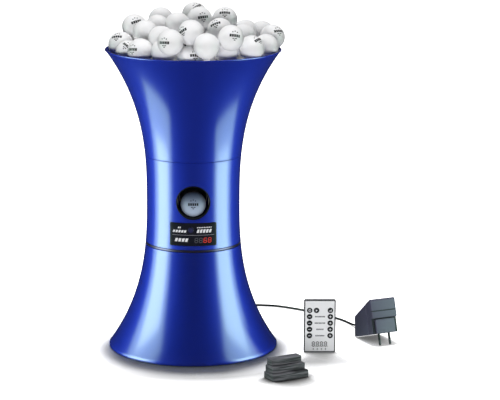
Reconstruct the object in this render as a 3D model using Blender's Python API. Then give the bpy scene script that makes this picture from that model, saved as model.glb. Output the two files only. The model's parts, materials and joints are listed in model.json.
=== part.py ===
"""Table tennis robot: an hourglass of three flared shells around a two-wheel ball thrower.

The base stands still, the body swivels on it, and the hopper lifts off. Beside it stand
the card remote, the stepped tilting wedge and the mains adapter on its cord.
Metres, +Z up. The origin is on the floor, on the swivel axis; the ball leaves along -Y.
"""
import math

import bmesh
import bpy
import numpy as np
from mathutils import Matrix, Vector

# Clearances
FIT_GAP = 0.0003
RUN_GAP = 0.0008

# Flared shells
RIM_HEIGHT = 0.484
RIM_RADIUS = 0.140
WAIST_HEIGHT = 0.242
WAIST_RADIUS = 0.0746
FOOT_RADIUS = 0.139
UPPER_FLARE_POWER = 2.66
LOWER_FLARE_POWER = 2.7
SHELL_WALL = 0.0025
SHELL_FLOOR_CLEARANCE = 0.0008
SWIVEL_RING_HEIGHT = 0.0036
SWIVEL_RING_WIDTH = 0.0130
SHELL_SEGMENTS = 36
LEDGE_WIDTH = 0.0085
LEDGE_HEIGHT = 0.0025
BASE_DECK_HEIGHT = 0.1500
SWIVEL_RISE = 0.0216
SWIVEL_HEIGHT = BASE_DECK_HEIGHT + SWIVEL_RISE

# Display
PANEL_WIDTH = 0.0710
PANEL_HEIGHT = 0.0355
PANEL_MARGIN = 0.00855
PANEL_CENTRE_HEIGHT = SWIVEL_HEIGHT + SWIVEL_RING_HEIGHT / 2.0 + FIT_GAP + PANEL_MARGIN + PANEL_HEIGHT / 2.0
PANEL_CORNER = 0.0020
PANEL_PROUD = 0.0003
PANEL_THICKNESS = 0.0028
PANEL_SPARE = 0.0040
SENSOR_RADIUS = 0.0043
SENSOR_ACROSS = -0.0040
SENSOR_RISE = 0.0060
SENSOR_PLACE = (SENSOR_ACROSS, PANEL_CENTRE_HEIGHT + SENSOR_RISE)
DIGIT_BLOCK_SIZE = (0.0304, 0.0066, 0.0140)
DIGIT_BLOCK_ACROSS = 0.0155
DIGIT_BLOCK_DROP = 0.0105
DIGIT_BLOCK_PLACE = (DIGIT_BLOCK_ACROSS, PANEL_CENTRE_HEIGHT - DIGIT_BLOCK_DROP)
BOARD_SETBACK = 0.0564
BOARD_SIZE = (0.0660, 0.0016, 0.0380)
BOARD_DROP = 0.0180
BOARD_BOTTOM = PANEL_CENTRE_HEIGHT - BOARD_DROP

# Balls
BALL_DIAMETER = 0.040
BALL_SEED = 3
HEAP_FILL = 3.79
HEAP_LEAN = 1.008
HEAP_SKIN_DEPTH = 0.0080
HEAP_HOLLOW = 0.0320
HEAP_WALL_GAP = 0.0030
HEAP_EDGE_DROP = 0.0280
SHOWN_DROP = 0.0440
COVER_REACH = 0.0220
POUR_SPREAD = 0.0550
POUR_RISE = 0.0300
POUR_SPACING = 0.0024
FALL_STEP = 0.0016
SHAKE_STEP = 0.0009
OVERLAP_LEFT = 0.0004
LIFT_STEP = 0.00015

# Throwing head
OUTLET_RADIUS = 0.0270
OUTLET_WALL = 0.0016
OUTLET_BALL_SETBACK = 0.0560
OUTLET_MARGIN = 0.00465
THROW_HEIGHT = PANEL_CENTRE_HEIGHT + PANEL_HEIGHT / 2.0 + OUTLET_MARGIN + OUTLET_RADIUS
WHEEL_SETBACK = 0.0300
WHEEL_RADIUS = 0.0185
WHEEL_EDGE_RADIUS = 0.0210
WHEEL_WIDTH = 0.026
HUB_RADIUS = 0.0135
WHEEL_SHAFT_RADIUS = 0.0016
BALL_GRIP_GAP = 0.0003
MOTOR_RADIUS = 0.01385
MOTOR_LENGTH = 0.0290
FRAME_PLATE_INSIDE = 0.0240
FRAME_PLATE_THICKNESS = 0.0025
FRAME_FRONT = 0.0500
FRAME_BACK = 0.0060
FRAME_FLOOR_REACH = 0.0095
FRAME_FLOOR_THICKNESS = 0.0025
FRAME_BAR_DEPTH = 0.0040
FRAME_BAR_HEIGHT = 0.0037
FRAME_TOP_GAP = 0.0012
FRAME_SINK = 0.0005
SPINDLE_ROOM = 0.0055
MOTOR_NOSE_HOLE = 0.0042
CHUTE_BORE_RADIUS = 0.0215
CHUTE_WALL = 0.0020
DROP_SETBACK = 0.0400
CHUTE_MOUTH_SETBACK = 0.0120
TYRE_CLEARANCE = 0.00195

# Ball feed
TRAY_THICKNESS = 0.0025
TRAY_SPIGOT_HEIGHT = 0.0080
TRAY_SPIGOT_WALL = 0.0022
ROTOR_RADIUS = 0.0680
ROTOR_THICKNESS = 0.0150
ROTOR_POCKETS = 4
ROTOR_EDGE = 0.0010
POCKET_RADIUS = 0.0220
ROTOR_SHAFT_RADIUS = 0.0030
ROTOR_SHAFT_REACH = 0.0080
FEED_MOTOR_SIZE = (0.012, 0.010, 0.025)

# Swivel drive
DECK_THICKNESS = 0.0030
SPINDLE_RADIUS = 0.0090
SPINDLE_WALL = 0.0020
SPINDLE_STAND = 0.0133
HUB_HEIGHT = 0.0060
PIVOT_RING_HEIGHT = 0.0012
GEAR_MODULE = 0.0010
SWEEP_GEAR_TEETH = 40
SWEEP_PINION_TEETH = 12
GEAR_FACE = 0.0060
SWEEP_MOTOR_RADIUS = 0.0120
SWEEP_MOTOR_HEIGHT = 0.0280
PINION_SHAFT_RADIUS = 0.0020

# Base
COVER_THICKNESS = 0.0025
FOOT_HEIGHT = 0.0030
FOOT_MAT_RADIUS = 0.1180
DECK_SCREWS = 4
SCREW_HEAD_RADIUS = 0.0032
SCREW_HEAD_HEIGHT = 0.0018
JACK_HEIGHT = 0.0180
JACK_RADIUS = 0.0055
JACK_LENGTH = 0.0130
JACK_BORE_RADIUS = 0.0031
JACK_OPENING_RADIUS = 0.0075

# Cord
CORD_DIAMETER = 0.0034
COIL_CENTRE = (0.0245, 0.2050)
COIL_OUTER_RADIUS = 0.0245
COIL_PITCH = 0.0041
COIL_LAYERS = 4
COIL_TURNS_PER_LAYER = 2.3125
COIL_POINTS_PER_TURN = 24
TIE_THICKNESS = 0.0008
TIE_WIDTH = 0.0050
PLUG_BARREL_RADIUS = 0.00275
PLUG_GRIP_RADIUS = 0.0050
PLUG_GRIP_LENGTH = 0.0230

# Adapter
ADAPTER_CORNER = (0.2665, 0.0360)
ADAPTER_YAW = math.radians(24.0)
ADAPTER_WIDTH = 0.0460
ADAPTER_DEPTH = 0.0700
ADAPTER_HEIGHT = 0.0570
ADAPTER_REAR_HEIGHT = 0.0340
ADAPTER_LIP_HEIGHT = 0.0250
ADAPTER_CHIN = 0.0040
ADAPTER_SEAM_DEPTH = 0.0180
PLUG_BLOCK_WIDTH = 0.0350
PLUG_BLOCK_DEPTH = 0.0137
PIN_RADIUS = 0.0020
PIN_LENGTH = 0.0190
PIN_SPACING = 0.0186
RELIEF_LENGTH = 0.0200

# Card remote
REMOTE_PLACE = (0.2028, -0.0515)
REMOTE_WIDTH = 0.0510
REMOTE_HEIGHT = 0.0870
REMOTE_THICKNESS = 0.0060
REMOTE_CORNER = 0.0025
REMOTE_RIM = 0.0009
REMOTE_FACE_THICKNESS = 0.0008
BUTTON_RADIUS = 0.0043
BUTTON_PROUD = 0.0006
BUTTON_TRAVEL = 0.0005
BUTTON_SIDES = 12
CELL_RADIUS = 0.0100
CELL_THICKNESS = 0.0016

# Tilting wedge
WEDGE_PLACE = (0.1435, -0.1905)
WEDGE_YAW = math.radians(29.3)
WEDGE_LENGTH = 0.0630
WEDGE_DEPTH = 0.0280
WEDGE_STEP_HEIGHT = 0.0103
WEDGE_STEPS = 3
WEDGE_STEP_BACK = 0.0065
WEDGE_END_SETBACK = 0.0025
WEDGE_BOW = 0.0018


# Basic tools

def clear_scene():
    for item in list(bpy.data.objects):
        bpy.data.objects.remove(item, do_unlink=True)


def material(name, colour, roughness=0.5, metallic=0.0):
    """A plain Principled material with its colour, gloss and metallic value."""
    made = bpy.data.materials.new(name)
    made.use_nodes = True
    shader = made.node_tree.nodes["Principled BSDF"]
    shader.inputs["Base Color"].default_value = (*colour, 1.0)
    shader.inputs["Roughness"].default_value = roughness
    shader.inputs["Metallic"].default_value = metallic
    made.diffuse_color = (*colour, 1.0)
    return made


def add_object(name, mesh_data, finish=None, parent=None):
    item = bpy.data.objects.new(name, mesh_data)
    bpy.context.scene.collection.objects.link(item)
    if finish is not None:
        mesh_data.materials.append(finish)
    item.parent = parent
    return item


def add_empty(name, place, turn=(0.0, 0.0, 0.0), parent=None):
    """An empty that stands on a joint's axis or carries a sub-assembly."""
    item = bpy.data.objects.new(name, None)
    bpy.context.scene.collection.objects.link(item)
    item.location = place
    item.rotation_euler = turn
    item.parent = parent
    return item


def finish_mesh(form, name, sharp_angle=35.0):
    """Turn a bmesh into smooth-shaded mesh data with its faces pointing out."""
    bmesh.ops.recalc_face_normals(form, faces=form.faces[:])
    mesh_data = bpy.data.meshes.new(name)
    form.to_mesh(mesh_data)
    form.free()
    mesh_data.shade_smooth()
    mesh_data.set_sharp_from_angle(angle=math.radians(sharp_angle))
    return mesh_data


def turned(profile, segments=24, start=0.0):
    """A solid of revolution about Z from a closed outline of (radius, height) points."""
    form = bmesh.new()
    rings = []
    for radius, height in profile:
        if radius < 1e-7:
            rings.append([form.verts.new((0.0, 0.0, height))])
            continue
        ring = []
        for step in range(segments):
            angle = start + 2.0 * math.pi * step / segments
            ring.append(form.verts.new((radius * math.cos(angle), radius * math.sin(angle), height)))
        rings.append(ring)
    for lower, upper in zip(rings, rings[1:] + rings[:1]):
        if len(lower) == 1 and len(upper) == 1:
            continue
        for step in range(segments):
            after = (step + 1) % segments
            corners = [lower[step % len(lower)], lower[after % len(lower)],
                       upper[after % len(upper)], upper[step % len(upper)]]
            corners = [v for place, v in enumerate(corners) if v not in corners[:place]]
            form.faces.new(corners)
    return form


def extruded(outline, bottom, top):
    """A prism from a closed plan outline of (x, y) points."""
    form = bmesh.new()
    low = [form.verts.new((x, y, bottom)) for x, y in outline]
    face = form.faces.new(low)
    grown = bmesh.ops.extrude_face_region(form, geom=[face])
    moved = [item for item in grown["geom"] if isinstance(item, bmesh.types.BMVert)]
    bmesh.ops.translate(form, verts=moved, vec=(0.0, 0.0, top - bottom))
    return form


def block(low, high):
    """A box from its lowest to its highest corner."""
    form = bmesh.new()
    bmesh.ops.create_cube(form, size=1.0)
    size = [b - a for a, b in zip(low, high)]
    middle = [(a + b) / 2.0 for a, b in zip(low, high)]
    bmesh.ops.scale(form, verts=form.verts[:], vec=size)
    bmesh.ops.translate(form, verts=form.verts[:], vec=middle)
    return form


def rounded_rectangle(width, height, corner, steps=4):
    """A closed outline about the origin with round corners."""
    points = []
    centres = [(1, 1), (-1, 1), (-1, -1), (1, -1)]
    for quarter, (side, up) in enumerate(centres):
        for step in range(steps + 1):
            angle = math.pi / 2.0 * (quarter + step / steps)
            points.append((side * (width / 2.0 - corner) + corner * math.cos(angle),
                           up * (height / 2.0 - corner) + corner * math.sin(angle)))
    return points


def circle(radius, steps=24, centre=(0.0, 0.0)):
    turn = 2.0 * math.pi / steps
    return [(centre[0] + radius * math.cos(turn * step), centre[1] + radius * math.sin(turn * step))
            for step in range(steps)]


# Turns a form made along Z so that its top points along +X, or along -Y
ALONG_X = Matrix.Rotation(math.pi / 2.0, 4, "Y")
ALONG_MINUS_Y = Matrix.Rotation(math.pi / 2.0, 4, "X")


def turned_about(axis_turn, form):
    bmesh.ops.transform(form, matrix=axis_turn, verts=form.verts[:])
    return form


def shifted(form, place):
    bmesh.ops.translate(form, verts=form.verts[:], vec=place)
    return form


def boolean(target, form, operation="DIFFERENCE"):
    """Cut, join or trim an object with a hidden helper made from a form."""
    helper = add_object(f"{target.name}_helper_{len(target.modifiers)}",
                        finish_mesh(form, f"{target.name}_helper"))
    helper.parent = target.parent
    helper.matrix_parent_inverse = target.matrix_parent_inverse.copy()
    helper.location = target.location
    helper.rotation_euler = target.rotation_euler
    helper.hide_render = True
    helper.display_type = "WIRE"
    step = target.modifiers.new(operation.title(), "BOOLEAN")
    step.operation = operation
    step.solver = "EXACT"
    step.object = helper
    return helper


def solid(name, form, finish, place=(0.0, 0.0, 0.0), parent=None, sharp_angle=35.0):
    item = add_object(name, finish_mesh(form, name, sharp_angle), finish, parent)
    item.location = place
    return item


# Hourglass shells

def shell_radius(height):
    """Outer radius of the hourglass at a height."""
    if height >= WAIST_HEIGHT:
        share = (height - WAIST_HEIGHT) / (RIM_HEIGHT - WAIST_HEIGHT)
        return WAIST_RADIUS + (RIM_RADIUS - WAIST_RADIUS) * share ** UPPER_FLARE_POWER
    share = (WAIST_HEIGHT - height) / WAIST_HEIGHT
    return WAIST_RADIUS + (FOOT_RADIUS - WAIST_RADIUS) * share ** LOWER_FLARE_POWER


def shell_slope(height):
    """How fast the outer radius grows with height."""
    step = 0.0005
    return (shell_radius(height + step) - shell_radius(height - step)) / (2.0 * step)


def inner_radius(height):
    """Inner radius of the wall, whose thickness is measured square to it."""
    return shell_radius(height) - SHELL_WALL * math.hypot(1.0, shell_slope(height))


def outer_points(start, end, count):
    return [(shell_radius(z), z) for z in np.linspace(start, end, count)]


def inner_points(start, end, count):
    return [(inner_radius(z), z) for z in np.linspace(start, end, count)]


def ledge_points(bottom, width=LEDGE_WIDTH, height=LEDGE_HEIGHT):
    """An inward ledge on the inner wall, listed from its lower to its upper corner."""
    reach = inner_radius(bottom) - width
    return [(inner_radius(bottom), bottom), (reach, bottom), (reach, bottom + height),
            (inner_radius(bottom + height), bottom + height)]


WHEEL_OFFSET = BALL_DIAMETER / 2.0 + BALL_GRIP_GAP + WHEEL_RADIUS
TRAY_BOTTOM = THROW_HEIGHT + WHEEL_OFFSET + WHEEL_EDGE_RADIUS + TYRE_CLEARANCE
HOPPER_SEAM = TRAY_BOTTOM + TRAY_THICKNESS + FIT_GAP / 2.0
SWIVEL_RING_BOTTOM = SWIVEL_HEIGHT - SWIVEL_RING_HEIGHT / 2.0
SWIVEL_RING_TOP = SWIVEL_HEIGHT + SWIVEL_RING_HEIGHT / 2.0
BASE_TOP = SWIVEL_RING_BOTTOM - FIT_GAP
BODY_BOTTOM = SWIVEL_RING_TOP + FIT_GAP
BODY_TOP = HOPPER_SEAM - FIT_GAP / 2.0
HOPPER_BOTTOM = HOPPER_SEAM + FIT_GAP / 2.0
COVER_BOTTOM = FOOT_HEIGHT + FIT_GAP
COVER_LEDGE = COVER_BOTTOM + COVER_THICKNESS + FIT_GAP
DECK_LEDGE = BASE_DECK_HEIGHT + DECK_THICKNESS + FIT_GAP
TRAY_LEDGE = TRAY_BOTTOM - FIT_GAP - LEDGE_HEIGHT
BODY_DECK_TOP = BODY_BOTTOM + DECK_THICKNESS
SPINDLE_TOP = BODY_DECK_TOP + SPINDLE_STAND


def make_base_shell(finish):
    """Flared skirt with a rounded foot edge, two ledges and a turned-in top."""
    edge = SHELL_FLOOR_CLEARANCE
    profile = outer_points(BASE_TOP, edge + 0.0030, 8)
    profile += [(shell_radius(edge + 0.0012) - 0.0001, edge + 0.0012), (shell_radius(edge) - 0.0008, edge),
                (shell_radius(edge) - 0.0030, edge), (inner_radius(edge + 0.0030), edge + 0.0030)]
    profile += ledge_points(COVER_LEDGE)
    profile += inner_points(COVER_LEDGE + 0.030, DECK_LEDGE - 0.030, 3)
    profile += ledge_points(DECK_LEDGE)
    turned_in = BASE_TOP - LEDGE_HEIGHT
    reach = shell_radius(BASE_TOP) - SWIVEL_RING_WIDTH
    profile += [(inner_radius(turned_in), turned_in), (reach, turned_in), (reach, BASE_TOP)]
    shell = solid("base_shell", turned(profile, SHELL_SEGMENTS), finish)
    mouth = shifted(turned_about(ALONG_MINUS_Y, extruded(circle(JACK_OPENING_RADIUS, 20), -0.030, 0.030)),
                    (0.0, shell_radius(JACK_HEIGHT), JACK_HEIGHT))
    boolean(shell, mouth)
    return shell


def make_body_shell(finish, parent):
    """Waisted middle shell with the ball outlet and the display window cut through."""
    profile = outer_points(BODY_TOP, BODY_BOTTOM, 6)
    profile += inner_points(BODY_BOTTOM, TRAY_LEDGE - 0.020, 4)
    profile += ledge_points(TRAY_LEDGE)
    profile += [(inner_radius(BODY_TOP), BODY_TOP)]
    shell = solid("body_shell", turned(profile, SHELL_SEGMENTS), finish, parent=parent)
    outlet = extruded(circle(OUTLET_RADIUS + FIT_GAP, 28), 0.030, 0.110)
    boolean(shell, shifted(turned_about(ALONG_MINUS_Y, outlet), (0.0, 0.0, THROW_HEIGHT)))
    window = rounded_rectangle(PANEL_WIDTH + 2.0 * FIT_GAP, PANEL_HEIGHT + 2.0 * FIT_GAP, PANEL_CORNER)
    window = turned_about(ALONG_MINUS_Y, extruded(window, 0.030, 0.110))
    boolean(shell, shifted(window, (0.0, 0.0, PANEL_CENTRE_HEIGHT)))
    return shell


def make_hopper_shell(finish, parent):
    """Funnel with a rounded rim; it slips over the spigot of the feed tray."""
    edge = SHELL_WALL / 2.0
    profile = outer_points(HOPPER_BOTTOM, RIM_HEIGHT - edge, 9)
    profile += [(RIM_RADIUS - 0.0002, RIM_HEIGHT - 0.0005), (RIM_RADIUS - 0.0011, RIM_HEIGHT),
                (RIM_RADIUS - 0.0025, RIM_HEIGHT - 0.0003)]
    profile += inner_points(RIM_HEIGHT - 0.0020, HOPPER_BOTTOM, 7)
    return solid("hopper_shell", turned(profile, SHELL_SEGMENTS), finish, parent=parent)


def skin_band(bottom, top, proud, thickness):
    """A closed band that follows the hourglass between two heights."""
    heights = np.linspace(bottom, top, 4)
    profile = [(shell_radius(z) + proud, z) for z in heights]
    profile += [(shell_radius(z) + proud - thickness, z) for z in heights[::-1]]
    return turned(profile, SHELL_SEGMENTS)


# Base

def make_base_deck(finish):
    """Round deck with the hollow spindle that the body turns on."""
    rim = inner_radius(BASE_DECK_HEIGHT) - 2.0 * FIT_GAP - 0.0008
    top = BASE_DECK_HEIGHT + DECK_THICKNESS
    bore = SPINDLE_RADIUS - SPINDLE_WALL
    profile = [(bore, BASE_DECK_HEIGHT), (rim, BASE_DECK_HEIGHT), (rim, top), (SPINDLE_RADIUS, top),
               (SPINDLE_RADIUS, SPINDLE_TOP), (bore, SPINDLE_TOP)]
    deck = solid("base_deck", turned(profile, 28), finish)
    add_deck_screws(deck)
    return deck


def gear_outline(teeth, module, backlash=0.00012):
    """Plan outline of a spur gear with straight-flanked teeth; a tooth stands on +X."""
    pitch = teeth * module / 2.0
    tip, root = pitch + 0.90 * module, pitch - 1.15 * module
    half_tooth = math.pi / (2.0 * teeth) - backlash / pitch
    widths = [(root, 1.50), (tip, 0.50)]
    points = []
    for tooth in range(teeth):
        middle = 2.0 * math.pi * tooth / teeth
        flank = [(radius, -half_tooth * share) for radius, share in widths]
        flank += [(radius, -turn) for radius, turn in reversed(flank)]
        points += [(radius * math.cos(middle + turn), radius * math.sin(middle + turn))
                   for radius, turn in flank]
    return points


GEAR_BOTTOM = BASE_DECK_HEIGHT + DECK_THICKNESS + FIT_GAP
SWEEP_CENTRES = GEAR_MODULE * (SWEEP_GEAR_TEETH + SWEEP_PINION_TEETH) / 2.0 + 0.00015
SWEEP_GEAR_TURN = math.pi / 2.0
SWEEP_PINION_TURN = math.pi / 2.0 + math.pi / SWEEP_PINION_TEETH


def make_sweep_gear(finish):
    """Fixed gear on the deck that the sweep pinion walks around."""
    form = extruded(gear_outline(SWEEP_GEAR_TEETH, GEAR_MODULE), GEAR_BOTTOM, GEAR_BOTTOM + GEAR_FACE)
    bmesh.ops.rotate(form, verts=form.verts[:], matrix=Matrix.Rotation(SWEEP_GEAR_TURN, 3, "Z"))
    gear = solid("sweep_gear", form, finish)
    boolean(gear, extruded(circle(SPINDLE_RADIUS + FIT_GAP, 28), GEAR_BOTTOM - 0.01, GEAR_BOTTOM + 0.02))
    return gear


def make_turntable_ring(finish):
    """Black slip ring that the body deck slides on."""
    outside = shell_radius(SWIVEL_HEIGHT)
    inside = outside - SWIVEL_RING_WIDTH
    profile = [(inside, SWIVEL_RING_BOTTOM), (outside, SWIVEL_RING_BOTTOM),
               (outside, SWIVEL_RING_TOP), (inside, SWIVEL_RING_TOP)]
    return solid("turntable_ring", turned(profile, SHELL_SEGMENTS), finish)


def make_bottom_cover(finish):
    rim = inner_radius(COVER_BOTTOM + COVER_THICKNESS) - 2.0 * FIT_GAP
    top = COVER_BOTTOM + COVER_THICKNESS
    profile = [(0.0, COVER_BOTTOM), (rim, COVER_BOTTOM), (rim, top), (0.0, top)]
    return solid("bottom_cover", turned(profile, SHELL_SEGMENTS), finish)


def make_foot_mat(finish):
    """Rubber mat under the cover, which keeps the robot from creeping on the table."""
    edge = 0.0008
    profile = [(0.0, 0.0), (FOOT_MAT_RADIUS - edge, 0.0), (FOOT_MAT_RADIUS, edge),
               (FOOT_MAT_RADIUS, FOOT_HEIGHT), (0.0, FOOT_HEIGHT)]
    return solid("foot_mat", turned(profile, SHELL_SEGMENTS), finish)


def add_deck_screws(deck):
    """Pan heads of the four screws that pull the deck up against its ledge."""
    ring = inner_radius(DECK_LEDGE) - LEDGE_WIDTH / 2.0
    for place in circle(ring, DECK_SCREWS):
        boolean(deck, extruded(circle(SCREW_HEAD_RADIUS, 10, place), BASE_DECK_HEIGHT - SCREW_HEAD_HEIGHT,
                               BASE_DECK_HEIGHT + DECK_THICKNESS / 2.0), "UNION")


JACK_FACE = shell_radius(JACK_HEIGHT) - 0.0010
PLUG_GRIP_FRONT = JACK_FACE + FIT_GAP
PLUG_END = PLUG_GRIP_FRONT + PLUG_GRIP_LENGTH


def make_dc_jack(finish):
    """Round power inlet behind the opening in the skirt, on a foot that stands on the cover."""
    inner_end = JACK_FACE - JACK_LENGTH
    depth = JACK_LENGTH - 0.0020
    profile = [(0.0, 0.0), (JACK_RADIUS, 0.0), (JACK_RADIUS, JACK_LENGTH), (JACK_BORE_RADIUS, JACK_LENGTH),
               (JACK_BORE_RADIUS, JACK_LENGTH - depth), (0.0, JACK_LENGTH - depth)]
    form = turned(profile, 16)
    bmesh.ops.transform(form, matrix=Matrix.Rotation(-math.pi / 2.0, 4, "X"), verts=form.verts[:])
    jack = solid("dc_jack", shifted(form, (0.0, inner_end, JACK_HEIGHT)), finish)
    foot_bottom = COVER_BOTTOM + COVER_THICKNESS + FIT_GAP
    boolean(jack, block((-0.004, inner_end + 0.001, foot_bottom),
                        (0.004, inner_end + 0.0042, JACK_HEIGHT - JACK_BORE_RADIUS - 0.0008)), "UNION")
    return jack


# Body and throwing head

PLATE_OUTSIDE = FRAME_PLATE_INSIDE + FRAME_PLATE_THICKNESS
DROP_TOP = TRAY_BOTTOM - FIT_GAP
ELBOW_HEIGHT = THROW_HEIGHT + DROP_SETBACK


def make_body_deck(finish, parent):
    """Turntable deck with its hub bore, the pinion shaft hole and two display posts."""
    rim = inner_radius(BODY_DECK_TOP) - 2.0 * FIT_GAP
    bore = SPINDLE_RADIUS + FIT_GAP
    hub = SPINDLE_RADIUS + 0.0040
    profile = [(bore, BODY_BOTTOM), (rim, BODY_BOTTOM), (rim, BODY_DECK_TOP), (hub, BODY_DECK_TOP),
               (hub, BODY_DECK_TOP + HUB_HEIGHT), (bore, BODY_DECK_TOP + HUB_HEIGHT)]
    deck = solid("body_deck", turned(profile, 28), finish, parent=parent)
    for side in (-1.0, 1.0):
        post_top = BOARD_BOTTOM + BOARD_SIZE[2] - 0.006
        near, far = sorted((side * 0.0265, side * 0.0315))
        post = block((near, -BOARD_SETBACK + FIT_GAP, BODY_BOTTOM + DECK_THICKNESS / 2.0),
                     (far, -BOARD_SETBACK + 0.0050, post_top))
        boolean(deck, post, "UNION")
    boolean(deck, shifted(extruded(circle(PINION_SHAFT_RADIUS + 0.0010, 16), BODY_BOTTOM - 0.01,
                                   BODY_DECK_TOP + 0.01), (0.0, SWEEP_CENTRES, 0.0)))
    return deck


def make_pivot_ring(finish, parent):
    """Retaining ring above the hub that keeps the body down on its spindle."""
    bottom = BODY_DECK_TOP + HUB_HEIGHT + FIT_GAP
    top = bottom + PIVOT_RING_HEIGHT
    profile = [(SPINDLE_RADIUS + FIT_GAP, bottom), (SPINDLE_RADIUS + 0.0035, bottom),
               (SPINDLE_RADIUS + 0.0035, top), (SPINDLE_RADIUS + FIT_GAP, top)]
    return solid("pivot_ring", turned(profile, 28), finish, parent=parent)


def make_sweep_motor(finish, parent):
    """Gearmotor on the turntable deck; its shaft bore opens downwards."""
    low = BODY_DECK_TOP + FIT_GAP
    bore = PINION_SHAFT_RADIUS + 0.0003
    profile = [(bore, low), (SWEEP_MOTOR_RADIUS, low), (SWEEP_MOTOR_RADIUS, low + 0.011),
               (SWEEP_MOTOR_RADIUS - 0.0008, low + 0.011), (SWEEP_MOTOR_RADIUS - 0.0008, low + 0.0125),
               (SWEEP_MOTOR_RADIUS, low + 0.0125), (SWEEP_MOTOR_RADIUS, low + SWEEP_MOTOR_HEIGHT - 0.001),
               (SWEEP_MOTOR_RADIUS - 0.001, low + SWEEP_MOTOR_HEIGHT), (0.0, low + SWEEP_MOTOR_HEIGHT),
               (0.0, low + 0.008), (bore, low + 0.008)]
    return solid("sweep_motor", turned(profile, 16), finish, (0.0, SWEEP_CENTRES, 0.0), parent)


def make_sweep_pinion(finish, axis):
    """Pinion with its shaft; it hangs from the sweep motor into the fixed gear."""
    bottom = GEAR_BOTTOM + 0.0003
    form = extruded(gear_outline(SWEEP_PINION_TEETH, GEAR_MODULE), bottom, bottom + GEAR_FACE)
    bmesh.ops.rotate(form, verts=form.verts[:], matrix=Matrix.Rotation(SWEEP_PINION_TURN, 3, "Z"))
    pinion = solid("sweep_pinion", form, finish, parent=axis)
    shaft = extruded(circle(PINION_SHAFT_RADIUS, 12), bottom + 0.001, BODY_DECK_TOP + 0.0076)
    boolean(pinion, shaft, "UNION")
    return pinion


def make_head_frame(finish, parent):
    """Two side plates on a floor plate, with a bar across the top front corner."""
    foot = BODY_DECK_TOP + FIT_GAP
    floor_top = foot + FRAME_FLOOR_THICKNESS
    top = TRAY_LEDGE - FRAME_TOP_GAP
    reach = PLATE_OUTSIDE + FRAME_FLOOR_REACH
    frame = solid("head_frame", block((-reach, -FRAME_FRONT, foot), (reach, FRAME_BACK, floor_top)),
                  finish, parent=parent)
    for side in (-1.0, 1.0):
        near, far = sorted((side * FRAME_PLATE_INSIDE, side * PLATE_OUTSIDE))
        boolean(frame, block((near, -FRAME_FRONT, foot + FRAME_SINK), (far, FRAME_BACK, top)), "UNION")
    half = FRAME_PLATE_INSIDE + 2.0 * FRAME_SINK
    bar_top = top - RUN_GAP
    boolean(frame, block((-half, -FRAME_FRONT, bar_top - FRAME_BAR_HEIGHT),
                         (half, -FRAME_FRONT + FRAME_BAR_DEPTH, bar_top)), "UNION")
    boolean(frame, extruded(circle(SPINDLE_RADIUS + SPINDLE_ROOM, 24), foot - FRAME_BACK, floor_top + FRAME_BACK))
    for side in (-1.0, 1.0):
        hole = turned_about(ALONG_X, extruded(circle(MOTOR_NOSE_HOLE, 16), -reach, reach))
        boolean(frame, shifted(hole, (0.0, -WHEEL_SETBACK, THROW_HEIGHT + side * WHEEL_OFFSET)))
    return frame


def make_wheel_motor(name, height, finish, parent):
    """Flat-sided direct-drive motor with its nose in the side plate and a blind shaft bore."""
    bore = WHEEL_SHAFT_RADIUS + 0.0003
    nose = 0.0034
    face = 0.0
    profile = [(bore, face + 0.0018), (nose, face + 0.0018), (nose, face), (MOTOR_RADIUS, face),
               (MOTOR_RADIUS, -MOTOR_LENGTH + 0.0040), (MOTOR_RADIUS - 0.0012, -MOTOR_LENGTH + 0.0040),
               (MOTOR_RADIUS - 0.0012, -MOTOR_LENGTH + 0.0010), (0.0040, -MOTOR_LENGTH + 0.0010),
               (0.0040, -MOTOR_LENGTH), (0.0, -MOTOR_LENGTH), (0.0, face - 0.0060), (bore, face - 0.0060)]
    form = turned_about(ALONG_X, turned(profile, 16))
    place = (-PLATE_OUTSIDE - FIT_GAP, -WHEEL_SETBACK, height)
    return solid(name, form, finish, place, parent)


def make_wheel(name, finish, axis):
    """Hub with a waist under the tyre, a screw boss and the shaft that enters the motor."""
    half = WHEEL_WIDTH / 2.0
    boss = 0.0050
    shaft_end = -PLATE_OUTSIDE - 0.0055
    profile = [(0.0, shaft_end), (WHEEL_SHAFT_RADIUS, shaft_end), (WHEEL_SHAFT_RADIUS, -half - 0.004),
               (boss, -half - 0.004), (boss, -half + 0.003), (HUB_RADIUS - 0.003, -half + 0.003),
               (HUB_RADIUS - 0.003, -half), (HUB_RADIUS, -half), (HUB_RADIUS, half),
               (HUB_RADIUS - 0.003, half), (HUB_RADIUS - 0.003, half - 0.003), (boss, half - 0.003),
               (boss, half + 0.001), (0.0, half + 0.001)]
    return solid(name, turned_about(ALONG_X, turned(profile, 16)), finish, parent=axis)


def make_tyre(name, finish, axis):
    """Rubber tyre whose tread is hollowed to hug the ball."""
    half = WHEEL_WIDTH / 2.0 - 0.0004
    bore = HUB_RADIUS + FIT_GAP
    rise = WHEEL_EDGE_RADIUS - WHEEL_RADIUS
    across = np.linspace(-half + 0.0015, half - 0.0015, 5)
    tread = [(WHEEL_RADIUS + rise * (x / across[-1]) ** 2, x) for x in across]
    profile = [(bore, -half), (WHEEL_EDGE_RADIUS - 0.0012, -half)] + tread
    profile += [(WHEEL_EDGE_RADIUS - 0.0012, half), (bore, half)]
    return solid(name, turned_about(ALONG_X, turned(profile, 20)), finish, parent=axis)


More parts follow.
